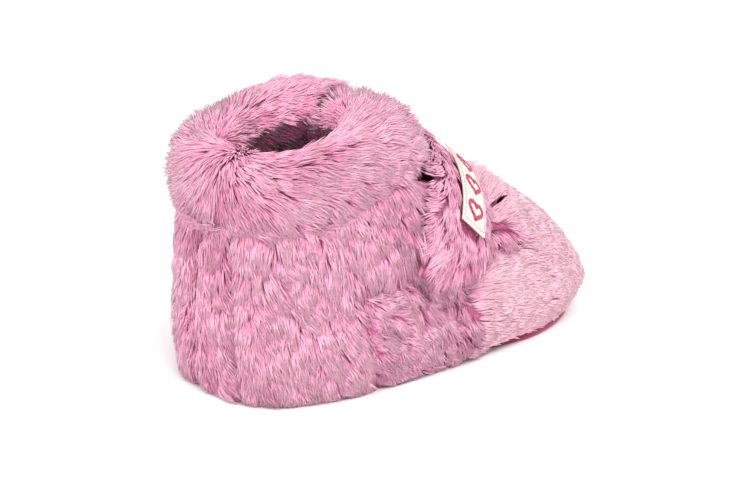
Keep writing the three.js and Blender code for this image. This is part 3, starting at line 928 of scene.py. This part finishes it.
@dataclass
class Upper:
    """The sewn upper: vamp with its wings, two side panels, the heel strip, the tongue and the lining."""

    wardrobe: Wardrobe
    foot: Foot = field(default_factory=Foot)
    under_strap: float = 5.6  # how deep the pressed pile lies under the strap's outer face
    under_share: float = 0.15  # of a layer's depth, that is kept there
    seam_sink: float = 1.3  # how far a seam is drawn in
    seam_reach: float = 2.2  # how far from a seam that fades
    front_columns: float = 9.5  # columns from the toe to where the vamp's wings start
    fringe: float = 7.0  # how far the wall's pile goes in under the strap's edges
    lining_depth: float = 10.2
    vamp_pile: Pile = Pile(4.6, 5.2, 1.6, rise=0.36, lean=1.0, lock=3.4, gather=0.2, wander=10, stray=10)
    wing_pile: Pile = Pile(4.8, 5.0, 2.0, rise=0.5, lean=0.9, lock=3.2, gather=0.45, wander=34, stray=18)
    side_pile: Pile = Pile(6.0, 5.2, 2.3, rise=0.48, lean=0.95, lock=3.4, gather=0.4, wander=18, stray=14)
    heel_pile: Pile = Pile(5.8, 5.0, 2.3, rise=0.5, lean=0.95, lock=3.4, gather=0.42, wander=22, stray=15)
    tongue_pile: Pile = Pile(5.2, 5.0, 1.9, rise=0.55, lean=0.95, lock=3.4, gather=0.25, wander=12, stray=12)
    lining_pile: Pile = Pile(4.0, 0.9, 0.6, rise=0.8, lean=0.5, lock=3.5, radius=0.5)

    def wall(self, u: Array, v: Array, depth: float) -> Array:
        """The wall's surface: u round from the heel by the outer side and the toe to the heel again, v up.

        Seams are drawn in, and the pile under the strap is pressed to one depth.
        """
        column = (2 * u - 1) * self.foot.columns
        foot = self.foot
        height = mix(foot.wall_foot, foot.top(column), v)
        seam = np.exp(-((foot.seam_distance(column, height) / self.seam_reach) ** 2))
        point = foot.at(column, height, depth + self.seam_sink * seam)
        return foot.pressed(point, self.under_strap + self.under_share * depth)

    def lining_wall(self, u: Array, v: Array, depth: float) -> Array:
        """The lining's inner face, turned to face into the shoe."""
        column = (1 - 2 * u) * self.foot.columns
        height = mix(self.foot.wall_foot + 6, self.foot.top(column) - 0.5, v)
        return self.foot.at(column, height, np.full(len(column), self.lining_depth - depth))

    def place(self, u: Array, v: Array) -> tuple[Array, Array]:
        """Column and height of a place on the wall."""
        column = (2 * u - 1) * self.foot.columns
        return column, mix(self.foot.wall_foot, self.foot.top(column), v)

    def in_vamp(self, u: Array, v: Array) -> Array:
        """Whether a place is on the vamp or its wings."""
        column, height = self.place(u, v)
        c, foot = np.abs(column), self.foot
        return ((c < foot.wing_column) & (height < foot.wing_top)) | (c < foot.throat_column)

    def in_side(self, u: Array, v: Array, side: Side) -> Array:
        """Whether a place is on a side panel."""
        column, _ = self.place(u, v)
        return ~self.in_vamp(u, v) & (np.abs(column) < self.foot.heel_column) & (column * side.value > 0)

    def in_heel(self, u: Array, v: Array) -> Array:
        """Whether a place is on the heel strip."""
        return np.abs(self.place(u, v)[0]) >= self.foot.heel_column

    def bare(self, u: Array, v: Array) -> Array:
        """Whether a place is out from under the strap and the cuff, where pile shows."""
        points = self.wall(u, v, 0.0)
        across, rise = self.foot.arch.place(points)
        angle = np.arctan2(rise, points[:, 1])
        return ~((np.abs(across) < self.foot.arch.half(angle) - self.fringe) & (rise > 10))

    def hem(self, u: Array, v: Array) -> Array:
        """Tufts are shorter beside seams and by the front of the sole, and hide its edge elsewhere."""
        column, height = self.place(u, v)
        seam = 0.7 + 0.3 * smooth(self.foot.seam_distance(column, height), 0.5, 3.5)
        low = 1 - smooth(height, 3, 8)
        front = 1 - smooth(np.abs(column), 8.0, 10.5)
        return seam * (1 - 0.35 * front * low + 0.3 * (1 - front) * low)

    @staticmethod
    def vamp_lie(points: Array, normals: Array) -> Array:
        """The vamp is combed to the toe, and turns down over its end and sides."""
        lie = np.tile([1.0, 0, -0.18], (len(points), 1))
        lie[:, 2] -= 0.5 * smooth(points[:, 0], 35, 62)
        return lie

    @staticmethod
    def wing_lie(points: Array, normals: Array) -> Array:
        """The wings fall down and to the toe, at every slant between."""
        lie = np.tile([0.6, 0, -0.9], (len(points), 1))
        lie[:, 0] += 0.9 * noise(points, 14.0, 31)
        return lie

    @staticmethod
    def side_lie(points: Array, normals: Array) -> Array:
        """The side panels fall to the sole and a little to the toe."""
        lie = np.tile([0.3, 0, -1.0], (len(points), 1))
        lie[:, 0] += 0.5 * noise(points, 20.0, 37)
        return lie

    def skins(self) -> None:
        """The panels' knitted ground, on which the pile stands. Each stands for its CAD solid."""
        outer, inner = Side.OUTER, Side.INNER
        panels = {
            "vamp_skin": (self.in_vamp, "vamp_panel", 1.6),
            "side_right_skin": (lambda u, v: self.in_side(u, v, outer), "side_right_panel", 2.2),
            "side_left_skin": (lambda u, v: self.in_side(u, v, inner), "side_left_panel", 2.2),
            "heel_skin": (self.in_heel, "heel_panel", 2.2),
        }
        for name, (keep, node, depth) in panels.items():
            skin = put_sheet(name, self.wall, (160, 40), depth, 1.2, keep)
            self.wardrobe.dress(skin, GROUND, "outer_plush")
            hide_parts(node)
            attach(skin, "bootie")
            LOG.info("%s: %d faces", name, len(skin.data.polygons))

    def pile(self) -> None:
        """The panels' pile: combed and short on the vamp, mottled on its wings, long on the sides."""

        def front(side: Side) -> Callable:
            """Whether a place is on one half of the vamp, ahead of its wings."""
            return lambda u, v: (
                self.in_vamp(u, v)
                & (np.abs(self.place(u, v)[0]) < self.front_columns)
                & (self.place(u, v)[0] * side.value >= 0)
                & self.bare(u, v)
            )

        def wing(side: Side) -> Callable:
            """Whether a place is on one side's wing."""
            return lambda u, v: (
                self.in_vamp(u, v)
                & (np.abs(self.place(u, v)[0]) >= self.front_columns)
                & (self.place(u, v)[0] * side.value > 0)
                & self.bare(u, v)
            )

        def flank(side: Side) -> Callable:
            """Whether a place is on one side panel."""
            return lambda u, v: self.in_side(u, v, side) & self.bare(u, v)

        beds = (
            ("vamp_right_fur", front(Side.OUTER), self.vamp_pile, self.vamp_lie, PALE_PINK, 11),
            ("vamp_left_fur", front(Side.INNER), self.vamp_pile, self.vamp_lie, PALE_PINK, 11),
            ("wing_right_fur", wing(Side.OUTER), self.wing_pile, self.wing_lie, LILAC, 12),
            ("wing_left_fur", wing(Side.INNER), self.wing_pile, self.wing_lie, LILAC, 13),
            ("side_right_fur", flank(Side.OUTER), self.side_pile, self.side_lie, PINK, 14),
            ("side_left_fur", flank(Side.INNER), self.side_pile, self.side_lie, PINK, 15),
            ("heel_fur", self.in_heel, self.heel_pile, steady(0.1, -0.55, -1.0), PINK, 16),
        )
        for name, keep, pile, lie, finish, seed in beds:
            fur = Fur(self.wall, pile, seed).grow(name, keep, lie, self.hem)
            self.wardrobe.dress(fur, finish, "outer_plush")
            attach(fur, "bootie")

    def lining(self) -> None:
        """The lining's knitted ground and its short pile, round the inside of the shoe, pink darkened with
        painted shade.
        """
        skin = put_sheet("lining_skin", self.lining_wall, (96, 18), 0.0, 1.2)
        self.wardrobe.dress(skin, SHADED_GROUND, "lining_plush")
        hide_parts("vamp_lining", "side_right_lining", "side_left_lining", "heel_lining")
        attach(skin, "bootie")
        fur = Fur(self.lining_wall, self.lining_pile, 21).grow("lining_fur", everywhere, steady(0.0, 0, 1.0))
        self.wardrobe.dress(fur, SHADED_LINING_PILE, "lining_plush")
        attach(fur, "bootie")

    def tongue(self) -> None:
        """The tongue between the side panels, from the vamp's upper edge back under the strap."""
        foot = self.foot

        def surface(u: Array, v: Array, depth: float) -> Array:
            """The tongue's outer face: u across, v up from the throat."""
            column = (2 * u - 1) * (foot.throat_column - 0.35)
            height = mix(foot.throat + 0.8, 51.6, v)
            point = foot.at(column, height, np.full(len(column), depth))
            return foot.pressed(point, self.under_strap + self.under_share * depth)

        skin = put_sheet("tongue_skin", surface, (36, 12), 2.8, 2.2)
        self.wardrobe.dress(skin, GROUND, "outer_plush")
        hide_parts("tongue")
        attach(skin, "tongue")
        fur = Fur(surface, self.tongue_pile, 22).grow("tongue_fur", everywhere, self.vamp_lie)
        self.wardrobe.dress(fur, PALE_PINK, "outer_plush")
        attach(fur, "tongue")


# ---------------------------------------------------------------- the cuff


@dataclass
class Cuff:
    """The rolled cuff round the ankle."""

    wardrobe: Wardrobe
    roll: Roll = field(default_factory=Roll)
    pile: Pile = Pile(6.4, 4.8, 2.2, rise=0.48, lean=0.95, lock=3.8, gather=0.4, wander=20, stray=14)

    def lie(self, points: Array, normals: Array) -> Array:
        """The pile runs round to the cuff's front ends, and falls over the crest to its lower edge."""
        middle = np.array([self.roll.middle, 0.0, 0.0])
        out = unit((points - middle) * [1, 1, 0])
        behind = smooth(-points[:, 0], 20, 50)
        turn = np.tanh(points[:, 1] / mix(1.0, 9.0, behind))
        low = 1 - smooth(points[:, 2], 50, 66)
        fall = 0.2 + 0.9 * low + 0.7 * (1 - np.abs(turn)) * behind
        over = 0.9 * out + np.array([0, 0, -1.0])
        return np.cross(out, [0, 0, 1.0]) * turn[:, None] + over * fall[:, None]

    def build(self) -> None:
        """The roll's ground as a closed body, and its pile in four beds, the innermost in painted shade."""
        nu, nv = 120, 40
        u, v = np.meshgrid(np.linspace(0, 1, nu), np.arange(nv) / nv, indexing="ij")
        rings = self.roll.surface(u.ravel(), v.ravel(), 2.1).reshape(nu, nv, 3)
        skin = put_rings("cuff_skin", rings)
        self.wardrobe.dress(skin, GROUND, "outer_plush")
        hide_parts("cuff")
        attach(skin, "bootie")
        beds = {
            "cuff_right_fur": (lambda u, v: (u > 0.5) & (v > 0.0) & (v < 0.6), PINK, 41),
            "cuff_left_fur": (lambda u, v: (u <= 0.5) & (v > 0.0) & (v < 0.6), PINK, 42),
            "cuff_mouth_fur": (lambda u, v: (v >= 0.6) & (v < 0.69), PINK, 43),
            # the roll's inner face, facing into the ankle opening, wears pile in painted shade
            "cuff_throat_fur": (lambda u, v: (v >= 0.69) & (v < 0.98), SHADED_CUFF_PILE, 44),
        }
        for name, (keep, finish, seed) in beds.items():
            fur = Fur(self.roll.surface, self.pile, seed).grow(name, keep, self.lie)
            self.wardrobe.dress(fur, finish, "outer_plush")
            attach(fur, "bootie")


# ---------------------------------------------------------------- the strap


@dataclass
class Strap:
    """The instep strap: a plush band sewn to the inner side, its free tab, and the label."""

    wardrobe: Wardrobe
    arch: Arch = field(default_factory=Arch)
    pile: Pile = Pile(5.4, 4.4, 2.0, rise=0.42, lean=0.95, lock=3.6, gather=0.45, wander=22, stray=14)
    far_end: float = -33.0
    far_fold: float = -22.0
    near_end: float = -33.5
    tab_fold: float = -6.0
    label_from: float = -3.0
    label_to: float = -21.0
    label_half: float = 5.6
    split: float = 0.40  # share of the way along where the far stretch ends and the near one starts
    cut_from: float = 0.62  # from where the strap's lines turn to the level cut of its end
    backing_depth: float = 4.0
    backing_inset: float = 1.3  # from the strap's edge to the backing's

    def along(self, u: Array, across: Array) -> Array:
        """The arch angle at a share of the way from the square sewn end to the level free end."""
        square = mix(self.arch.far_angle(self.far_end), self.arch.near_angle(self.near_end), u)
        cut = self.arch.level(self.near_end, across) - self.arch.near_angle(self.near_end)
        return square + cut * smooth(u, self.cut_from, 1.0)

    def surface(self, u: Array, v: Array, depth: float) -> Array:
        """The strap's outer face: u along it from the sewn end to the free end, v across it.

        Its edges round down by up to 1.6 mm, and its free end is rounded in plan.
        """
        share = 2 * v - 1
        corner = 1 - 0.16 * smooth(u, 0.93, 1.0) * np.abs(share) ** 3
        across = (self.arch.half(self.along(u, 0.0)) * corner - 0.5) * share
        return self.arch.point(self.along(u, across), across, depth + 1.6 * np.abs(share) ** 5)

    def place_of(self, u: Array, v: Array) -> tuple[Array, Array]:
        """The arch angle and the distance across the strap, in millimetres."""
        across = (2 * v - 1) * self.arch.half(self.along(u, 0.0))
        return self.along(u, across), across

    def clear_of_label(self, u: Array, v: Array) -> Array:
        """Whether a place is outside the label, which the pile only fringes."""
        angle, across = self.place_of(u, v)
        first, last = self.arch.near_angle(self.label_from), self.arch.near_angle(self.label_to)
        return ~((np.abs(across) < self.label_half - 0.3) & (angle > first - 0.02) & (angle < last + 0.01))

    def fringe(self, u: Array, v: Array) -> Array:
        """Tufts grow longer at the free end, and shorter above the label so that they don't hide it."""
        angle, across = self.place_of(u, v)
        label = self.arch.near_angle(self.label_from)
        above = np.exp(-(((angle - label + 0.12) / 0.12) ** 2)) * (np.abs(across) < self.label_half + 1)
        return (1 + 0.25 * smooth(u, 0.86, 1.0)) * (1 - 0.55 * above)

    def lie(self, points: Array, normals: Array) -> Array:
        """The pile runs along the strap to its free end, and spreads to its two edges."""
        _, side, _ = self.arch.axes()
        along = np.cross(side, normals)
        spread = self.arch.place(points)[0] / self.arch.half_top
        fan = spread * (0.3 + 1.1 * smooth(np.abs(spread), 0.55, 0.95))
        return along * np.where(along[:, 1:2] > 0, -1.0, 1.0) + fan[:, None] * side

    def fold_points(self, angle: float, reach: float) -> tuple[Vector, Vector]:
        """Two points along the strap, before and after a fold."""
        ends = self.arch.point(np.array([angle - reach, angle + reach]), np.zeros(2), np.zeros(2)) * MM
        return Vector(ends[0]), Vector(ends[1])

    def build(self) -> None:
        """The strap in two stretches, its patches and its label."""
        far, near = self.arch.far_angle(self.far_fold), self.arch.side_angle(self.tab_fold)
        stretches = {
            "far": (lambda u, v: u < self.split, ("bootie", "strap_band"), far),
            "near": (lambda u, v: u >= self.split, ("strap_band", "strap_tab"), near),
        }
        nodes = {"far": ("strap_root", "strap_band"), "near": ("strap_tab",)}
        for seed, (name, (part, bodies, fold)) in enumerate(stretches.items(), 51):
            skin = put_sheet(f"strap_{name}_skin", self.surface, (110, 24), 2.0, 1.6, part)
            self.wardrobe.dress(skin, GROUND, "outer_plush")
            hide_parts(*nodes[name])
            fur = Fur(self.surface, self.pile, seed).grow(
                f"strap_{name}_fur",
                lambda u, v, part=part: part(u, v) & self.clear_of_label(u, v),
                self.lie,
                self.fringe,
            )
            self.wardrobe.dress(fur, PINK, "outer_plush")
            for piece in (skin, fur):
                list(bodies)
                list(self.fold_points(fold, 0.10))
                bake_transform(piece)
            self.backing(name, part, bodies, self.fold_points(fold, 0.10))
        self.wardrobe.redress("hook_patch", TAPE)
        self.wardrobe.redress("loop_patch", TAPE)
        self.label()

    def backing(
        self,
        name: str,
        part: Callable,
        bodies: tuple[str, str],
        fold: tuple[Vector, Vector],
    ) -> None:
        """The cotton under one stretch of the strap, just inside its edges."""

        def surface(u: Array, v: Array, depth: float) -> Array:
            """The backing's face towards the plush, a little inside the strap's edges and ends."""
            across = (self.arch.half(self.along(u, 0.0)) - self.backing_inset) * (2 * v - 1)
            return self.arch.point(self.along(u * 0.985 + 0.004, across), across, depth)

        steps = np.linspace(0, 1, 201)
        steps = steps[part(steps, steps)]
        line = surface(steps, np.full(len(steps), 0.5), self.backing_depth)
        length = float(np.linalg.norm(np.diff(line, axis=0), axis=1).sum())
        width = 2 * float(self.arch.half(self.along(steps, 0.0)).mean() - self.backing_inset)
        flat = (length / np.ptp(steps), width)
        cloth = put_sheet(f"strap_{name}_backing", surface, (90, 16), self.backing_depth, 0.8, part, flat)
        self.wardrobe.dress(cloth, BACKING_CLOTH, "cotton_backing")
        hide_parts({"far": "strap_band_backing", "near": "strap_tab_backing"}[name])
        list(bodies)
        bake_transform(cloth)
        LOG.info("%s: %.0f by %.0f mm flat", cloth.name, width, length)

    def label_surface(self, u: Array, v: Array, depth: float) -> Array:
        """The label's face: u down the strap, v across it, bowed a little off the pile."""
        angle = mix(self.arch.near_angle(self.label_from), self.arch.near_angle(self.label_to), u)
        bow = 0.5 * np.sin(math.pi * u) * np.sin(math.pi * v)
        return self.arch.point(angle, (2 * v - 1) * self.label_half, depth - 0.5 - bow)

    def label(self) -> None:
        """The woven label, its three stitched hearts and the stitches round its edge."""
        middle = self.label_surface(np.linspace(0, 1, 41), np.full(41, 0.5), 0.0)
        length = float(np.linalg.norm(np.diff(middle, axis=0), axis=1).sum())
        flat = (length, 2 * self.label_half)
        cloth = put_sheet("label_cloth", self.label_surface, (40, 20), 0.0, 0.5, flat=flat)
        self.wardrobe.dress(cloth, LABEL_CLOTH, "woven_label")
        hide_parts("label")
        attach(cloth, "strap_tab")
        stitched = [self.heart(place, f"label_heart_{k}") for k, place in enumerate((0.2, 0.5, 0.8), 1)]
        stitched.append(self.hem())
        for bead, thread in zip(stitched, (*[RASPBERRY_THREAD] * 3, PINK_THREAD)):
            self.wardrobe.dress(bead, thread, "woven_label")
            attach(bead, "strap_tab")
        LOG.info("label_cloth: %.1f by %.1f mm flat", flat[1], length)

    def heart(self, place: float, name: str) -> bpy.types.Object:
        """A stitched heart at a share of the way down the label.

        Its outline is x = sin^3 t, y = (13 cos t - 5 cos 2t - 2 cos 3t - cos 4t) / 16.
        """
        turn = np.linspace(0, ROUND_TURN, 49)[:-1]
        tall = (13 * np.cos(turn) - 5 * np.cos(2 * turn) - 2 * np.cos(3 * turn) - np.cos(4 * turn)) / 16
        u = np.clip(place - 0.098 * tall, 0.02, 0.98)
        return self.stitched_line(u, 0.5 + 0.29 * np.sin(turn) ** 3, 0.62, name)

    def hem(self) -> bpy.types.Object:
        """The stitches round the label, a little inside its edge."""
        count = 64
        around = 4 * np.linspace(0, 1, count + 1)[:-1]
        side = np.floor(around).astype(int)
        along, start, end = around - side, np.zeros(count), np.ones(count)
        u = np.choose(side, [along, end, 1 - along, start]) * 0.92 + 0.04
        v = np.choose(side, [start, along, end, 1 - along]) * 0.86 + 0.07
        return self.stitched_line(u, v, 0.24, "label_stitching")

    def stitched_line(self, u: Array, v: Array, radius: float, name: str) -> bpy.types.Object:
        """A closed line of satin stitch on the label: a flat ring carried along (u, v), ribbed."""
        centre, normal = facing(self.label_surface, u, v, 0.0)
        ahead = unit(np.roll(centre, -1, axis=0) - np.roll(centre, 1, axis=0))
        across = np.cross(ahead, normal)
        corner = np.linspace(0, ROUND_TURN, 9)[:-1][None, :, None]
        rib = (1 + 0.12 * np.where(np.arange(len(u)) % 2, 1, -1))[:, None, None]
        ring = np.cos(corner) * across[:, None] + 0.45 * np.sin(corner) * normal[:, None]
        return put_rings(name, centre[:, None] + radius * rib * ring, closed=True)


# ---------------------------------------------------------------- the sole


@dataclass
class Sole:
    """The suede outsole, the foam over it and the plush insole."""

    wardrobe: Wardrobe
    foot: Foot = field(default_factory=Foot)
    sides: int = 128
    tuck: float = 3.0  # how far the outsole's edge lies behind the hem of the sides and the heel
    suede: float = 2.6  # thickness of each layer
    foam: float = 3.0
    cloth: float = 1.8
    inset: float = 12.4  # from the foot's outline to the rim of the foam and the insole
    foam_section: float = 3.0  # heights of the outlines that they follow
    insole_section: float = 6.2

    def layer(
        self, name: str, section: float, inset: float, bottom: float, thickness: float, edge: float
    ) -> bpy.types.Object:
        """A flat layer with rounded edges, as rings from the middle of its underside to that of its top.

        Args:
            name: the piece's name.
            section: height of the foot's outline that it follows.
            inset: how far it is drawn in from that outline; at 0, the hem's tuck is taken off instead.
            bottom: height of its underside.
            thickness: from there to its top.
            edge: how far its edge is rounded.

        Returns:
            The piece.
        """
        top = bottom + thickness
        turn = np.linspace(0, ROUND_TURN, self.sides + 1)[:-1]
        outline = self.foot.section(turn, np.full(self.sides, section))
        tucked = inset + self.tuck * (1 - smooth(outline[:, 0], 18, 34)) * (inset == 0)
        scale = 1 - tucked / np.hypot(outline[:, 0], outline[:, 1])
        shares = np.linspace(0.08, 0.94, 9)
        quarter = np.linspace(-1, 1, 7)
        round_out = edge * (1 - np.sqrt(1 - quarter**2 * 0.98))
        drawn = [*(outline[:, :2] * (scale * s)[:, None] for s in shares)]
        rings = [np.column_stack([d, np.full(self.sides, bottom)]) for d in drawn]
        for q, r in zip(quarter, round_out):
            rim = outline[:, :2] * (1 - (tucked + r) / np.hypot(outline[:, 0], outline[:, 1]))[:, None]
            rings.append(np.column_stack([rim, np.full(self.sides, mix(bottom, top, (q + 1) / 2))]))
        rings += [np.column_stack([d, np.full(self.sides, top)]) for d in drawn[::-1]]
        return put_rings(name, np.stack([self.foot.lifted(ring) for ring in rings]))

    def build(self) -> None:
        """The three layers and the pile on the insole."""
        low = [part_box(node)[0].z / MM for node in ("outsole", "sole_foam", "insole")]
        outsole = self.layer("outsole_suede", 0.0, 0.0, low[0], self.suede, 1.1)
        self.wardrobe.dress(outsole, SOLE_SUEDE, "sole_suede")
        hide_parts("outsole")
        foam = self.layer("foam_layer", self.foam_section, self.inset, low[1], self.foam, 0.6)
        self.wardrobe.dress(foam, SOLE_FOAM, "sole_foam")
        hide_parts("sole_foam")
        insole = self.layer("insole_cloth", self.insole_section, self.inset, low[2], self.cloth, 0.6)
        # the insole's ground is pink darkened with painted shade of the shoe's inside
        self.wardrobe.dress(insole, SHADED_GROUND, "lining_plush")
        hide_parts("insole")

        def bed(u: Array, v: Array, depth: float) -> Array:
            """The insole's face: u round it, v from its middle outwards."""
            ring = self.foot.section(ROUND_TURN * u, np.full(len(u), self.insole_section))
            rim = 1 - (self.inset + 1) / np.hypot(ring[:, 0], ring[:, 1])
            spot = ring[:, :2] * (rim * np.sqrt(np.clip(v, 0.001, None)))[:, None]
            flat = np.column_stack([spot, np.full(len(u), low[2] + self.cloth - depth)])
            return self.foot.lifted(flat)

        pile = Pile(3.4, 0.8, 0.1, rise=0.7, lean=0.5, radius=0.5, lock=3.5)
        fur = Fur(lambda u, v, depth: bed(1 - u, v, depth), pile, 61).grow(
            "insole_fur", lambda u, v: v > 0.002, steady(1.0, 0, 0)
        )
        # the insole's pile is pink darkened with painted shade of the shoe's inside
        self.wardrobe.dress(fur, SHADED_LINING_PILE, "lining_plush")
        for piece in (outsole, foam, insole, fur):
            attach(piece, "bootie")


# ---------------------------------------------------------------- the studio


@dataclass
class Studio:
    """A plain pale floor, soft lights and the camera."""

    azimuth: float = -44.0
    elevation: float = 18.5
    distance: float = 0.85
    lens: float = 149.0
    aim: tuple[float, float, float] = (-0.0012, 0.0011, 0.0293)

    def build(self) -> None:
        """Sets the floor, the lights round the object and the camera at its angle."""
        scene = bpy.context.scene
        self.floor()
        world = bpy.data.worlds.new("studio")
        scene.world = world
        world.use_nodes = True
        background = world.node_tree.nodes["Background"].inputs
        background["Color"].default_value = (1, 1, 1, 1)
        background["Strength"].default_value = 0.85
        scene.view_settings.view_transform = "Standard"
        self.light("key", (-0.35, -0.75, 0.95), 0.6, 9.0)
        self.light("fill", (0.9, -0.5, 0.6), 0.8, 4.0)
        self.light("side", (-1.0, -0.25, 0.45), 0.7, 5.0)
        self.light("back", (-0.2, 0.9, 0.8), 0.7, 2.0)
        data = bpy.data.cameras.new("camera")
        data.lens, data.clip_start, data.clip_end = self.lens, 0.01, 20
        camera = bpy.data.objects.new("camera", data)
        scene.collection.objects.link(camera)
        az, el = math.radians(self.azimuth), math.radians(self.elevation)
        out = Vector((math.sin(az) * math.cos(el), -math.cos(az) * math.cos(el), math.sin(el)))
        camera.location = Vector(self.aim) + self.distance * out
        camera.rotation_euler = (-out).to_track_quat("-Z", "Y").to_euler()
        scene.camera = camera

    def floor(self) -> None:
        """A wide pale floor just under the sole."""
        reach = 4000.0
        below = -0.05
        corners = np.array([[-1, -1, 0], [1, -1, 0], [1, 1, 0], [-1, 1, 0]]) * reach + [0, 0, below]
        floor = put_mesh("floor", corners, np.array([[0, 1, 2, 3]]))
        paper = Finish("matt white paper", 0.9, 1.5, Specular_IOR_Level=0.1)
        paper.shader.inputs["Base Color"].default_value = linear("fbfafa")
        floor.data.materials.append(paper.material)

    @staticmethod
    def light(name: str, place: tuple[float, float, float], size: float, watts: float) -> None:
        """A square soft light that points at the object."""
        data = bpy.data.lights.new(name, "AREA")
        data.size, data.energy = size, watts
        lamp = bpy.data.objects.new(name, data)
        bpy.context.scene.collection.objects.link(lamp)
        lamp.location = place
        lamp.rotation_euler = (-Vector(place)).to_track_quat("-Z", "Y").to_euler()


def main() -> None:
    """Builds the studio and the bootie's sub-assemblies in order."""
    logging.basicConfig(level=logging.INFO, format="%(name)s: %(message)s")
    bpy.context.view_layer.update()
    wardrobe = Wardrobe()
    Studio().build()
    Sole(wardrobe).build()
    upper = Upper(wardrobe)
    upper.skins()
    upper.pile()
    upper.lining()
    upper.tongue()
    Cuff(wardrobe).build()
    Strap(wardrobe).build()


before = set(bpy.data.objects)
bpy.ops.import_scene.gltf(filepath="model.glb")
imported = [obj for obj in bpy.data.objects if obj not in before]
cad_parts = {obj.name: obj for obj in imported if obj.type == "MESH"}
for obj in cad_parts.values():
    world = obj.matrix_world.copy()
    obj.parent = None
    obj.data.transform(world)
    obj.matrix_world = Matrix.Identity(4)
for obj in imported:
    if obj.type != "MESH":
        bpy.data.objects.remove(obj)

if __name__ == "__main__":
    main()
